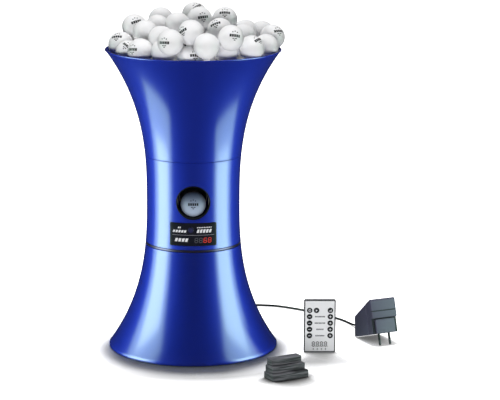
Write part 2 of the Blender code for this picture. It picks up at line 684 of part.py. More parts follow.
def make_ball_chute(finish, parent):
    """Hollow elbow: down from the tray behind the wheels, then forward into their nip."""
    path = [(DROP_SETBACK, DROP_TOP, 0.0)]
    elbow_steps = 6
    for step in range(elbow_steps + 1):
        turn = math.pi / 2.0 * step / elbow_steps
        path.append((DROP_SETBACK * math.cos(turn), ELBOW_HEIGHT - DROP_SETBACK * math.sin(turn), turn))
    path.append((-CHUTE_MOUTH_SETBACK, THROW_HEIGHT, math.pi / 2.0))
    sides = 16
    form = bmesh.new()
    rings = []
    for radius, stations in ((CHUTE_BORE_RADIUS + CHUTE_WALL, path), (CHUTE_BORE_RADIUS, path[::-1])):
        for y, z, turn in stations:
            ring = []
            for step in range(sides):
                angle = 2.0 * math.pi * step / sides
                across, along = radius * math.cos(angle), radius * math.sin(angle)
                ring.append(form.verts.new((across, y + along * math.cos(turn), z - along * math.sin(turn))))
            rings.append(ring)
    for ring, after in zip(rings, rings[1:] + rings[:1]):
        for step in range(sides):
            up = (step + 1) % sides
            form.faces.new((ring[step], ring[up], after[up], after[step]))
    return solid("ball_chute", form, finish, parent=parent)


def make_outlet_ring(finish, parent):
    """Black muzzle ring, its front trimmed flush with the curved shell."""
    rear = FRAME_FRONT + FIT_GAP
    inside = OUTLET_RADIUS - OUTLET_WALL
    front = RIM_RADIUS
    profile = [(inside, rear), (OUTLET_RADIUS, rear), (OUTLET_RADIUS, front), (inside, front)]
    form = shifted(turned_about(ALONG_MINUS_Y, turned(profile, 28)), (0.0, 0.0, THROW_HEIGHT))
    ring = solid("outlet_ring", form, finish, parent=parent)
    span = 1.3 * OUTLET_RADIUS
    heights = np.linspace(THROW_HEIGHT - span, THROW_HEIGHT + span, 5)
    trim = [(0.0, heights[0])] + [(shell_radius(z) + PANEL_PROUD, z) for z in heights] + [(0.0, heights[-1])]
    boolean(ring, turned(trim, SHELL_SEGMENTS), "INTERSECT")
    return ring


def make_feed_motor(finish, parent):
    """Small gearmotor under the middle of the tray; the rotor shaft enters it from above."""
    wide, deep, tall = FEED_MOTOR_SIZE
    top = TRAY_BOTTOM - FIT_GAP
    motor = solid("feed_motor", block((-wide / 2, -deep / 2, top - tall), (wide / 2, deep / 2, top)),
                  finish, parent=parent)
    edge = motor.modifiers.new("Edge", "BEVEL")
    edge.width = 0.0008
    edge.segments = 1
    boolean(motor, extruded(circle(ROTOR_SHAFT_RADIUS + FIT_GAP, 16), top - ROTOR_SHAFT_REACH - 0.001,
                            top + ROTOR_SHAFT_REACH))
    return motor


SPIGOT_RADIUS = inner_radius(BODY_TOP) - 2.0 * FIT_GAP


def make_feed_tray(finish, parent):
    """Round tray whose rim is the hopper's spigot, with the drop hole behind the middle."""
    top = TRAY_BOTTOM + TRAY_THICKNESS
    rim_top = top + TRAY_SPIGOT_HEIGHT
    inside = SPIGOT_RADIUS - TRAY_SPIGOT_WALL
    bore = ROTOR_SHAFT_RADIUS + 0.0006
    profile = [(bore, TRAY_BOTTOM), (SPIGOT_RADIUS, TRAY_BOTTOM), (SPIGOT_RADIUS, rim_top),
               (inside, rim_top), (inside, top), (bore, top)]
    tray = solid("feed_tray", turned(profile, SHELL_SEGMENTS), finish, parent=parent)
    hole = extruded(circle(CHUTE_BORE_RADIUS, 24, (0.0, DROP_SETBACK)), TRAY_BOTTOM - 0.01, top + 0.004)
    boolean(tray, hole)
    return tray


ROTOR_BOTTOM = TRAY_BOTTOM + TRAY_THICKNESS + RUN_GAP
ROTOR_TOP = ROTOR_BOTTOM + ROTOR_THICKNESS


def make_feed_rotor(finish, axis):
    """Pocket wheel that carries one ball at a time round to the drop hole."""
    shaft_end = TRAY_BOTTOM - FIT_GAP - ROTOR_SHAFT_REACH
    edge = ROTOR_EDGE
    profile = [(0.0, shaft_end), (ROTOR_SHAFT_RADIUS, shaft_end), (ROTOR_SHAFT_RADIUS, ROTOR_BOTTOM),
               (ROTOR_RADIUS - edge, ROTOR_BOTTOM), (ROTOR_RADIUS, ROTOR_BOTTOM + edge),
               (ROTOR_RADIUS, ROTOR_TOP - edge), (ROTOR_RADIUS - edge, ROTOR_TOP), (0.0, ROTOR_TOP)]
    rotor = solid("feed_rotor", turned(profile, 28), finish, parent=axis)
    for pocket in range(ROTOR_POCKETS):
        turn = math.pi / 2.0 + 2.0 * math.pi * pocket / ROTOR_POCKETS
        centre = (DROP_SETBACK * math.cos(turn), DROP_SETBACK * math.sin(turn))
        boolean(rotor, extruded(circle(POCKET_RADIUS, 16, centre), ROTOR_BOTTOM - edge, ROTOR_TOP + edge))
    return rotor


def make_display(panel_finish, sensor_finish, digit_finish, board_finish, parent):
    """Dark window flush in the shell, its sensor lens, the digit block and their board."""
    low = PANEL_CENTRE_HEIGHT - PANEL_HEIGHT / 2.0 - PANEL_SPARE
    high = PANEL_CENTRE_HEIGHT + PANEL_HEIGHT / 2.0 + PANEL_SPARE
    panel = solid("display_panel", skin_band(low, high, PANEL_PROUD, PANEL_THICKNESS), panel_finish,
                  parent=parent)
    outline = extruded(rounded_rectangle(PANEL_WIDTH, PANEL_HEIGHT, PANEL_CORNER), 0.030, 0.110)
    boolean(panel, shifted(turned_about(ALONG_MINUS_Y, outline), (0.0, 0.0, PANEL_CENTRE_HEIGHT)),
            "INTERSECT")
    x, z = SENSOR_PLACE
    hole = turned_about(ALONG_MINUS_Y, extruded(circle(SENSOR_RADIUS + FIT_GAP, 20), 0.030, 0.110))
    boolean(panel, shifted(hole, (x, 0.0, z)))
    lens = solid("sensor_lens", skin_band(low, high, PANEL_PROUD + 0.0003, PANEL_THICKNESS), sensor_finish,
                 parent=parent)
    boolean(lens, shifted(turned_about(ALONG_MINUS_Y, extruded(circle(SENSOR_RADIUS, 20), 0.030, 0.110)),
                          (x, 0.0, z)), "INTERSECT")
    wide, deep, tall = DIGIT_BLOCK_SIZE
    x, z = DIGIT_BLOCK_PLACE
    back = -BOARD_SETBACK - BOARD_SIZE[1] - FIT_GAP
    solid("digit_block", block((x - wide / 2, back - deep, z - tall / 2), (x + wide / 2, back, z + tall / 2)),
          digit_finish, parent=parent)
    wide, deep, tall = BOARD_SIZE
    board = solid("control_board", block((-wide / 2, -BOARD_SETBACK - deep, BOARD_BOTTOM),
                                         (wide / 2, -BOARD_SETBACK, BOARD_BOTTOM + tall)),
                  board_finish, parent=parent)
    sensor = block((SENSOR_PLACE[0] - 0.003, -BOARD_SETBACK - deep - 0.0075, SENSOR_PLACE[1] - 0.0035),
                   (SENSOR_PLACE[0] + 0.003, -BOARD_SETBACK - deep + 0.0004, SENSOR_PLACE[1] + 0.0035))
    boolean(board, sensor, "UNION")


# Balls

def funnel_limit(height):
    """Inner radius of the funnel and its slope for a ball centre at a height."""
    low = np.minimum(height, RIM_HEIGHT)
    share = np.clip((low - WAIST_HEIGHT) / (RIM_HEIGHT - WAIST_HEIGHT), 0.0, 1.0)
    grow = RIM_RADIUS - WAIST_RADIUS
    radius = WAIST_RADIUS + grow * share ** UPPER_FLARE_POWER
    slope = grow * UPPER_FLARE_POWER * share ** (UPPER_FLARE_POWER - 1.0) / (RIM_HEIGHT - WAIST_HEIGHT)
    return radius, slope


def keep_in_funnel(places, reach):
    """Push ball centres off the rotor, the funnel wall and the edge of the rim."""
    places[:, 2] = np.maximum(places[:, 2], ROTOR_TOP + reach + FIT_GAP)
    across = np.hypot(places[:, 0], places[:, 1]) + 1e-9
    radius, slope = funnel_limit(places[:, 2])
    spare = radius - (SHELL_WALL + reach + FIT_GAP) * np.hypot(1.0, slope)
    over = np.clip(places[:, 2] - RIM_HEIGHT, 0.0, reach)
    past_rim = RIM_RADIUS - SHELL_WALL - np.sqrt(np.maximum((reach + FIT_GAP) ** 2 - over ** 2, 0.0))
    spare = np.where(places[:, 2] > RIM_HEIGHT, np.maximum(spare, past_rim), spare)
    spare *= math.cos(math.pi / SHELL_SEGMENTS)
    places[:, :2] *= np.where(across > spare, spare / across, 1.0)[:, None]


def separate(places, pairs, apart, strength):
    """Push balls that overlap away from each other, and keep all of them in the funnel."""
    first, second = pairs
    offset = places[first] - places[second]
    distance = np.linalg.norm(offset, axis=1) + 1e-9
    near = distance < apart
    shove = offset[near] * (strength * (apart - distance[near]) / distance[near])[:, None]
    np.add.at(places, first[near], shove)
    np.add.at(places, second[near], -shove)
    keep_in_funnel(places, BALL_DIAMETER / 2.0)


def heaped_count():
    """How many balls make a heaped load, from the funnel's volume above the rotor."""
    heights, step = np.linspace(ROTOR_TOP, RIM_HEIGHT, 60, retstep=True)
    volume = float(np.sum(funnel_limit(heights)[0] ** 2) * step)
    return round(HEAP_FILL * volume / BALL_DIAMETER ** 3)


def settle_balls():
    """Ball centres of a heaped load: they fall, shake down and lean inwards as friction heaps them."""
    rng = np.random.default_rng(BALL_SEED)
    apart = BALL_DIAMETER + FIT_GAP
    count = heaped_count()
    angle = rng.uniform(0.0, 2.0 * math.pi, count)
    out = np.sqrt(rng.uniform(0.0, 1.0, count)) * POUR_SPREAD
    rise = ROTOR_TOP + POUR_RISE + np.arange(count) * POUR_SPACING
    places = np.stack([out * np.cos(angle), out * np.sin(angle), rise], axis=1)
    pairs = np.triu_indices(count, 1)
    rounds = 700
    for turn in range(rounds):
        left = 1.0 - turn / rounds
        fall = FALL_STEP * left ** 1.5
        places[:, 2] -= fall
        places[:, :2] -= fall * HEAP_LEAN / RIM_RADIUS * places[:, :2]
        places += rng.normal(0.0, SHAKE_STEP * left ** 2, places.shape)
        for _ in range(4):
            separate(places, pairs, apart, 0.5)
    first, second = pairs
    for _ in range(900):
        distance = np.linalg.norm(places[first] - places[second], axis=1)
        tight = distance < apart - OVERLAP_LEFT
        upper = np.where(places[first[tight], 2] > places[second[tight], 2], first[tight], second[tight])
        places[upper, 2] += LIFT_STEP
        separate(places, pairs, apart, 0.35)
    for _ in range(300):
        separate(places, pairs, apart, 0.3)
    return places


def top_layer(places):
    """The balls of the heap that no other ball lies on."""
    layer = []
    for ball in places:
        beside = np.hypot(places[:, 0] - ball[0], places[:, 1] - ball[1]) < COVER_REACH
        covered = np.any(beside & (places[:, 2] > ball[2] + BALL_DIAMETER / 2.0))
        if ball[2] > RIM_HEIGHT - SHOWN_DROP and not covered:
            layer.append(ball)
    return np.array(layer)


def heap_height(layer, x, y):
    """Height of the core under the top layer: it rises into each ball and dips between them."""
    square = (layer[:, 0] - x) ** 2 + (layer[:, 1] - y) ** 2
    under = layer[:, 2] - HEAP_SKIN_DEPTH - square / HEAP_HOLLOW
    return float(max(under.max(), RIM_HEIGHT - HEAP_EDGE_DROP - HEAP_SKIN_DEPTH))


def make_heap_core(layer, finish, parent):
    """Body of the load under its top layer, clear of the funnel and the rotor."""
    bottom = ROTOR_TOP + FIT_GAP
    profile = [(0.0, bottom), (ROTOR_RADIUS - BALL_DIAMETER / 2.0, bottom)]
    for height in np.linspace(bottom + BALL_DIAMETER / 2.0, RIM_HEIGHT - HEAP_EDGE_DROP, 6):
        profile.append((inner_radius(height) - HEAP_WALL_GAP, height))
    profile += [(across, RIM_HEIGHT) for across in np.linspace(profile[-1][0] * 0.92, 0.0, 6)]
    form = turned(profile, SHELL_SEGMENTS)
    for vert in form.verts:
        if vert.co.z > RIM_HEIGHT - FIT_GAP:
            vert.co.z = heap_height(layer, vert.co.x, vert.co.y)
    return solid("ball_load", form, finish, parent=parent, sharp_angle=50.0)


def ball_form(place):
    form = bmesh.new()
    bmesh.ops.create_icosphere(form, subdivisions=2, radius=BALL_DIAMETER / 2.0)
    return shifted(form, place)


def make_balls(finish, hopper, body):
    """The heaped load, its top layer ball by ball, and the ball that waits in the outlet."""
    layer = top_layer(settle_balls())
    load = make_heap_core(layer, finish, hopper)
    balls = bmesh.new()
    for place in layer:
        balls.from_mesh(finish_mesh(ball_form(place), "ball"))
    boolean(load, balls, "UNION")
    load.modifiers[-1].use_self = True
    print("balls: top layer", len(layer), "of", heaped_count())
    drop = OUTLET_RADIUS - OUTLET_WALL - BALL_DIAMETER / 2.0 - FIT_GAP
    solid("outlet_ball", ball_form((0.0, 0.0, 0.0)), finish,
          (0.0, -OUTLET_BALL_SETBACK, THROW_HEIGHT - drop), body, 80.0)


# Cord

def smooth_route(points, spacing):
    """Even points along a smooth curve through the route's own points."""
    knots = [Vector(p) for p in points]
    knots = [knots[0] * 2.0 - knots[1]] + knots + [knots[-1] * 2.0 - knots[-2]]
    dense = []
    for a, b, c, d in zip(knots, knots[1:], knots[2:], knots[3:]):
        for step in range(24):
            t = step / 24.0
            dense.append(0.5 * (2.0 * b + (c - a) * t + (2.0 * a - 5.0 * b + 4.0 * c - d) * t * t
                                + (3.0 * b - a - 3.0 * c + d) * t ** 3))
    dense.append(knots[-2])
    lengths = [0.0]
    for a, b in zip(dense, dense[1:]):
        lengths.append(lengths[-1] + (b - a).length)
    count = max(4, round(lengths[-1] / spacing))
    even = []
    place = 0
    for step in range(count + 1):
        want = lengths[-1] * step / count
        while place < len(lengths) - 2 and lengths[place + 1] < want:
            place += 1
        part = (want - lengths[place]) / max(lengths[place + 1] - lengths[place], 1e-9)
        even.append(dense[place].lerp(dense[place + 1], min(part, 1.0)))
    return even


def route_length(points):
    return sum((Vector(b) - Vector(a)).length for a, b in zip(points, points[1:]))


def make_tube(name, points, finish, detail):
    """A round cord along points, with capped ends."""
    curve = bpy.data.curves.new(name, "CURVE")
    curve.dimensions = "3D"
    curve.bevel_depth = CORD_DIAMETER / 2.0
    curve.bevel_resolution = detail
    curve.use_fill_caps = True
    spline = curve.splines.new("POLY")
    spline.points.add(len(points) - 1)
    for point, place in zip(spline.points, points):
        point.co = (*place, 1.0)
    curve.materials.append(finish)
    item = bpy.data.objects.new(name, curve)
    bpy.context.scene.collection.objects.link(item)
    return item


COIL_FLOOR = TIE_THICKNESS + 2.0 * FIT_GAP + CORD_DIAMETER / 2.0


def coil_points():
    """One unbroken run of turns that spirals in, climbs, spirals out, and so on."""
    turns = COIL_LAYERS * COIL_TURNS_PER_LAYER
    count = round(turns * COIL_POINTS_PER_TURN)
    points = []
    for step in range(count + 1):
        turn = turns * step / count
        layer = min(int(turn / COIL_TURNS_PER_LAYER), COIL_LAYERS - 1)
        share = turn - layer * COIL_TURNS_PER_LAYER
        inward = share if layer % 2 == 0 else COIL_TURNS_PER_LAYER - share
        radius = COIL_OUTER_RADIUS - COIL_PITCH * inward
        climb = sum(min(max((turn - change * COIL_TURNS_PER_LAYER) * 2.0 + 0.5, 0.0), 1.0)
                    for change in range(1, COIL_LAYERS))
        angle = math.pi / 2.0 + 2.0 * math.pi * turn
        points.append(Vector((COIL_CENTRE[0] + radius * math.cos(angle),
                              COIL_CENTRE[1] + radius * math.sin(angle), COIL_FLOOR + COIL_PITCH * climb)))
    first, last = points[0], points[-1]
    points = [first + Vector((CORD_DIAMETER, 0.0, 0.0))] + points
    points.append(last + Vector((0.0, -CORD_DIAMETER, 0.0)))
    return points


def least_coil_gap(points):
    """Least clear distance between turns of the coil, measured on points."""
    places = np.array([tuple(p) for p in points])
    reach = COIL_POINTS_PER_TURN // 2
    least = 1.0
    for step in range(len(places) - reach - 1):
        others = places[step + reach:]
        along = others[1:] - others[:-1]
        offset = places[step] - others[:-1]
        part = np.clip((offset * along).sum(axis=1) / (along ** 2).sum(axis=1), 0.0, 1.0)
        near = np.linalg.norm(offset - along * part[:, None], axis=1)
        least = min(least, float(near.min()))
    return least - CORD_DIAMETER


def make_cord(cord_finish, tie_finish, plug_finish, relief_tip):
    coil = coil_points()
    print("coil: least gap", round(least_coil_gap(coil) * 1000, 3), "mm")
    start, end = coil[0], coil[-1]
    plug_tip = Vector((0.0, PLUG_END + FIT_GAP, JACK_HEIGHT))
    lead = [plug_tip, plug_tip + Vector((0.0, CORD_DIAMETER, 0.0)), Vector((0.0, 0.1640, 0.0168)),
            Vector((0.0, 0.1750, 0.0143)), Vector((0.0, 0.1880, 0.0140)),
            end + Vector((0.0, -CORD_DIAMETER - FIT_GAP, 0.0)), end + Vector((0.0, -FIT_GAP, 0.0))]
    floor = CORD_DIAMETER / 2.0 + 0.0002
    tip, direction = relief_tip
    run = [start + Vector((FIT_GAP, 0.0, 0.0)), start + Vector((FIT_GAP + CORD_DIAMETER, 0.0, 0.0)),
           Vector((0.0440, 0.2300, floor)), Vector((0.0620, 0.2335, floor)), Vector((0.0850, 0.2375, floor)),
           Vector((0.1104, 0.2385, floor)), Vector((0.1343, 0.2357, floor)), Vector((0.1508, 0.2296, floor)),
           Vector((0.1671, 0.2201, floor)), Vector((0.1798, 0.2113, floor)), Vector((0.1960, 0.1990, floor)),
           Vector((0.2140, 0.1825, floor)), Vector((0.2300, 0.1665, floor)), Vector((0.2422, 0.1524, floor)),
           Vector((0.2530, 0.1380, floor)), Vector((0.2612, 0.1235, floor)),
           Vector((0.2672, 0.1080, floor + 0.0008)), Vector((0.2715, 0.0930, floor + 0.0032)),
           tip + direction * (FIT_GAP + 2.6 * CORD_DIAMETER), tip + direction * (FIT_GAP + CORD_DIAMETER),
           tip + direction * FIT_GAP]
    spacing = 2.4 * CORD_DIAMETER
    lead_points = smooth_route(lead, spacing)
    run_points = smooth_route(run, spacing)
    make_tube("cord_lead", lead_points, cord_finish, 2)
    make_tube("cord_coil", coil, cord_finish, 1)
    make_tube("cord_run", run_points, cord_finish, 2)
    total = route_length(lead_points) + route_length(coil) + route_length(run_points)
    print("cord: length", round(total * 1000, 1), "mm; run points", len(run_points))
    make_cord_tie(tie_finish)
    make_dc_plug(plug_finish)


def make_cord_tie(finish):
    """Flat band around the coil's turns on the side away from the robot's axis."""
    inward = COIL_PITCH * COIL_TURNS_PER_LAYER
    near = COIL_OUTER_RADIUS - inward - CORD_DIAMETER / 2.0 - 2.0 * FIT_GAP
    far = COIL_OUTER_RADIUS + CORD_DIAMETER / 2.0 + 2.0 * FIT_GAP
    low = TIE_THICKNESS + FIT_GAP
    high = COIL_FLOOR + COIL_PITCH * (COIL_LAYERS - 1) + CORD_DIAMETER / 2.0 + FIT_GAP
    middle = ((near + far) / 2.0, (low + high) / 2.0)
    outer = rounded_rectangle(far - near + 2 * TIE_THICKNESS, high - low + 2 * TIE_THICKNESS, 0.0016, 2)
    inner = rounded_rectangle(far - near, high - low, 0.0008, 2)
    tie = solid("cord_tie", turned_about(ALONG_MINUS_Y, extruded(outer, -TIE_WIDTH / 2, TIE_WIDTH / 2)),
                finish, (COIL_CENTRE[0] + middle[0], COIL_CENTRE[1], middle[1]))
    boolean(tie, turned_about(ALONG_MINUS_Y, extruded(inner, -TIE_WIDTH, TIE_WIDTH)))
    return tie


def make_dc_plug(finish):
    """Barrel plug in the jack, its grip tapering into the cord."""
    barrel_end = -0.0095
    grip = PLUG_GRIP_LENGTH
    tail = CORD_DIAMETER / 2.0 + 0.0008
    profile = [(0.0, barrel_end), (PLUG_BARREL_RADIUS, barrel_end), (PLUG_BARREL_RADIUS, 0.0),
               (PLUG_GRIP_RADIUS, 0.0), (PLUG_GRIP_RADIUS, grip * 0.48),
               (PLUG_GRIP_RADIUS * 0.72, grip * 0.60), (tail, grip), (0.0, grip)]
    form = turned(profile, 16)
    bmesh.ops.transform(form, matrix=Matrix.Rotation(-math.pi / 2.0, 4, "X"), verts=form.verts[:])
    return solid("dc_plug", form, finish, (0.0, PLUG_GRIP_FRONT, JACK_HEIGHT))


# Adapter

PIN_BACK = ADAPTER_CHIN + PLUG_BLOCK_DEPTH / 2.0
ADAPTER_TILT = math.atan(PIN_LENGTH / (ADAPTER_DEPTH - PIN_BACK))


def adapter_seat():
    """An empty at the plug face, turned so that pin tips and rear edge both touch the floor."""
    turn = Matrix.Rotation(ADAPTER_YAW, 4, "Z") @ Matrix.Rotation(-ADAPTER_TILT, 4, "X")
    corner = turn @ Vector((-ADAPTER_WIDTH / 2.0, ADAPTER_DEPTH, 0.0))
    seat = add_empty("adapter_seat", (0.0, 0.0, 0.0))
    seat.matrix_world = Matrix.Translation(Vector((*ADAPTER_CORNER, FIT_GAP)) - corner) @ turn
    return seat


def adapter_top(back):
    """Height of the sloping upper side at a distance behind the plug face."""
    return ADAPTER_HEIGHT - (ADAPTER_HEIGHT - ADAPTER_REAR_HEIGHT) * back / ADAPTER_DEPTH


def make_adapter(case_finish, pin_finish, relief_finish):
    """Wedge-shaped power adapter: front cover, rear case, flat plug block with two pins."""
    seat = adapter_seat()
    half = ADAPTER_WIDTH / 2.0
    split = ADAPTER_SEAM_DEPTH
    side_turn = Matrix(((0, 0, 1, 0), (1, 0, 0, 0), (0, 1, 0, 0), (0, 0, 0, 1)))
    rear = [(split + FIT_GAP, 0.0), (ADAPTER_DEPTH, 0.0), (ADAPTER_DEPTH - 0.0015, 0.0060),
            (ADAPTER_DEPTH - 0.0085, ADAPTER_REAR_HEIGHT), (split + FIT_GAP, adapter_top(split))]
    case = solid("adapter_case", turned_about(side_turn, extruded(rear, -half, half)), case_finish,
                 parent=seat)
    front = [(ADAPTER_CHIN, 0.0), (split, 0.0), (split, adapter_top(split)), (0.0025, ADAPTER_HEIGHT),
             (0.0, ADAPTER_HEIGHT - 0.0025), (0.0, ADAPTER_LIP_HEIGHT), (ADAPTER_CHIN, ADAPTER_LIP_HEIGHT)]
    cover = solid("adapter_cover", turned_about(side_turn, extruded(front, -half, half)), case_finish,
                  parent=seat)
    for item in (case, cover):
        edge = item.modifiers.new("Edge", "BEVEL")
        edge.width = 0.0012
        edge.segments = 1
    groove = block((-half - 0.01, -0.001, 0.0385), (half + 0.01, 0.0008, 0.0397))
    boolean(cover, groove)
    plug = block((-PLUG_BLOCK_WIDTH / 2, 0.0008, 0.0003),
                 (PLUG_BLOCK_WIDTH / 2, ADAPTER_CHIN + 0.002, 0.0235))
    boolean(cover, plug, "UNION")
    for side, name in ((-1.0, "adapter_pin_left"), (1.0, "adapter_pin_right")):
        across = side * PIN_SPACING / 2.0
        sunk = 0.0055
        profile = [(0.0, -PIN_LENGTH), (PIN_RADIUS * 0.5, -PIN_LENGTH), (PIN_RADIUS, -PIN_LENGTH + 0.0015),
                   (PIN_RADIUS, sunk), (0.0, sunk)]
        solid(name, turned(profile, 12), pin_finish, (across, PIN_BACK, 0.0), seat)
        boolean(cover, extruded(circle(PIN_RADIUS + 0.0002, 16, (across, PIN_BACK)), -0.004, sunk + 0.0003))
    return make_strain_relief(seat, relief_finish, case)


def make_strain_relief(seat, finish, case):
    """Ribbed tapering sleeve in the rear face; returns where the cord leaves it and its direction."""
    height = 0.0170
    face = ADAPTER_DEPTH - 0.0015 - 0.0070 * (height - 0.006) / (ADAPTER_REAR_HEIGHT - 0.006)
    root, tail = 0.0034, CORD_DIAMETER / 2.0 + 0.0007
    profile = [(0.0, -0.0030), (root, -0.0030)]
    ribs = 3
    for rib in range(ribs):
        start = RELIEF_LENGTH * (rib + 0.3) / ribs
        size = root + (tail - root) * (rib + 0.3) / ribs
        profile += [(size, start), (size, start + 0.0022), (size - 0.0008, start + 0.0022),
                    (size - 0.0008, start + 0.0034)]
    profile += [(tail, RELIEF_LENGTH), (0.0, RELIEF_LENGTH)]
    form = turned(profile, 10)
    bmesh.ops.transform(form, matrix=Matrix.Rotation(-math.pi / 2.0, 4, "X"), verts=form.verts[:])
    solid("strain_relief", form, finish, (0.0, face, height), seat)
    socket = extruded(circle(root + 0.0002, 16), -0.0040, 0.010)
    bmesh.ops.transform(socket, matrix=Matrix.Rotation(-math.pi / 2.0, 4, "X"), verts=socket.verts[:])
    boolean(case, shifted(socket, (0.0, face, height)))
    bpy.context.view_layer.update()
    tip = seat.matrix_world @ Vector((0.0, face + RELIEF_LENGTH, height))
    direction = (seat.matrix_world.to_3x3() @ Vector((0.0, 1.0, 0.0))).normalized()
    return tip, direction


# Card remote

REMOTE_FACE_FRONT = -REMOTE_THICKNESS / 2.0
REMOTE_FACE_BACK = REMOTE_FACE_FRONT + REMOTE_FACE_THICKNESS
REMOTE_BOARD_FRONT = REMOTE_FACE_BACK + 0.0007
REMOTE_BOARD_THICKNESS = 0.0006
CELL_BAY_FRONT = REMOTE_BOARD_FRONT + REMOTE_BOARD_THICKNESS + 0.0006
CELL_BAY_BACK = CELL_BAY_FRONT + CELL_THICKNESS + 0.0013
BUTTON_COLUMNS = (0.179, 0.394, 0.830)
BUTTON_ROWS = (0.201, 0.320, 0.442, 0.561, 0.682)
CELL_HEIGHT = 0.0200


def button_places():
    """Name and place of each button, from the shares of the face's width and height."""
    def spot(column, row):
        return ((column - 0.5) * REMOTE_WIDTH, (1.0 - row) * REMOTE_HEIGHT)
    places = [("button_power", spot(BUTTON_COLUMNS[0], BUTTON_ROWS[0])),
              ("button_play", spot(BUTTON_COLUMNS[1], BUTTON_ROWS[0])),
              ("button_mode", spot(BUTTON_COLUMNS[2], BUTTON_ROWS[0]))]
    for row, name in zip(BUTTON_ROWS[1:], ("rate", "sweep", "speed", "spin")):
        places.append((f"button_{name}_down", spot(BUTTON_COLUMNS[0], row)))
        places.append((f"button_{name}_up", spot(BUTTON_COLUMNS[2], row)))
    return places


def facing_front(outline, front, back, height=0.0):
    """A prism whose outline stands upright, from a front depth to a back depth."""
    form = turned_about(ALONG_MINUS_Y, extruded(outline, -back, -front))
    return shifted(form, (0.0, 0.0, height))


def make_remote(case_finish, face_finish, button_finish, board_finish, tray_finish, cell_finish):
    seat = add_empty("remote_seat", (*REMOTE_PLACE, 0.0002))
    middle = REMOTE_HEIGHT / 2.0
    case = solid("remote_case", facing_front(rounded_rectangle(REMOTE_WIDTH, REMOTE_HEIGHT, REMOTE_CORNER),
                                             REMOTE_FACE_FRONT, REMOTE_THICKNESS / 2.0, middle),
                 case_finish, parent=seat)
    recess = rounded_rectangle(REMOTE_WIDTH - 2 * REMOTE_RIM, REMOTE_HEIGHT - 2 * REMOTE_RIM,
                               REMOTE_CORNER - REMOTE_RIM, 3)
    boolean(case, facing_front(recess, REMOTE_FACE_FRONT - 0.002, REMOTE_FACE_BACK + 0.0002, middle))
    board_width, board_bottom, board_top = 0.0440, 0.0090, REMOTE_HEIGHT - 0.0060
    boolean(case, block((-board_width / 2 - 0.0004, REMOTE_FACE_BACK - 0.0005, board_bottom - 0.0004),
                        (board_width / 2 + 0.0004, CELL_BAY_FRONT - 0.0003, board_top + 0.0004)))
    bay_left = -0.0040
    bay_half = CELL_RADIUS + 0.0016
    boolean(case, block((bay_left, CELL_BAY_FRONT, CELL_HEIGHT - bay_half),
                        (REMOTE_WIDTH / 2 + 0.002, CELL_BAY_BACK, CELL_HEIGHT + bay_half)))
    face = solid("remote_face",
                 facing_front(rounded_rectangle(REMOTE_WIDTH - 2 * REMOTE_RIM - 2 * FIT_GAP,
                                                REMOTE_HEIGHT - 2 * REMOTE_RIM - 2 * FIT_GAP,
                                                REMOTE_CORNER - REMOTE_RIM - FIT_GAP, 3),
                              REMOTE_FACE_FRONT, REMOTE_FACE_BACK, middle), face_finish, parent=seat)
    board = block((-board_width / 2, REMOTE_BOARD_FRONT, board_bottom),
                  (board_width / 2, REMOTE_BOARD_FRONT + REMOTE_BOARD_THICKNESS, board_top))
    solid("remote_board", board, board_finish, parent=seat)
    holes = bmesh.new()
    for name, (x, z) in button_places():
        axis = add_empty(f"{name}_axis", (x, 0.0, z), parent=seat)
        front = REMOTE_FACE_FRONT - BUTTON_PROUD
        depth = REMOTE_BOARD_FRONT - BUTTON_TRAVEL - 0.0002
        cap = turned([(0.0, -depth), (BUTTON_RADIUS, -depth), (BUTTON_RADIUS, -front - 0.0003),
                      (BUTTON_RADIUS - 0.0006, -front), (0.0, -front)], BUTTON_SIDES)
        solid(name, turned_about(ALONG_MINUS_Y, cap), button_finish, parent=axis)
        hole = facing_front(circle(BUTTON_RADIUS + 0.0002, BUTTON_SIDES), REMOTE_FACE_FRONT - 0.001,
                            REMOTE_FACE_BACK + 0.001)
        hole = finish_mesh(hole, "button_hole")
        before = len(holes.verts)
        holes.from_mesh(hole)
        holes.verts.ensure_lookup_table()
        bmesh.ops.translate(holes, verts=holes.verts[before:], vec=(x, 0.0, z))
    boolean(face, holes)
    tray_axis = add_empty("battery_tray_axis", (0.0, 0.0, CELL_HEIGHT), parent=seat)
    tray_front, tray_back = CELL_BAY_FRONT + FIT_GAP, CELL_BAY_BACK - FIT_GAP
    tray = solid("battery_tray", block((bay_left + FIT_GAP, tray_front, -bay_half + FIT_GAP),
                                       (REMOTE_WIDTH / 2, tray_back, bay_half - FIT_GAP)),
                 tray_finish, parent=tray_axis)
    cell_x = bay_left + 0.0016 + CELL_RADIUS
    floor = 0.0004
    boolean(tray, shifted(facing_front(circle(CELL_RADIUS + FIT_GAP, 24), tray_front - 0.001,
                                       tray_back - floor), (cell_x, 0.0, 0.0)))
    cell_back = tray_back - floor - FIT_GAP
    cell = facing_front(circle(CELL_RADIUS, 24), cell_back - CELL_THICKNESS, cell_back)
    solid("coin_cell", shifted(cell, (cell_x, 0.0, 0.0)), cell_finish, parent=tray_axis)


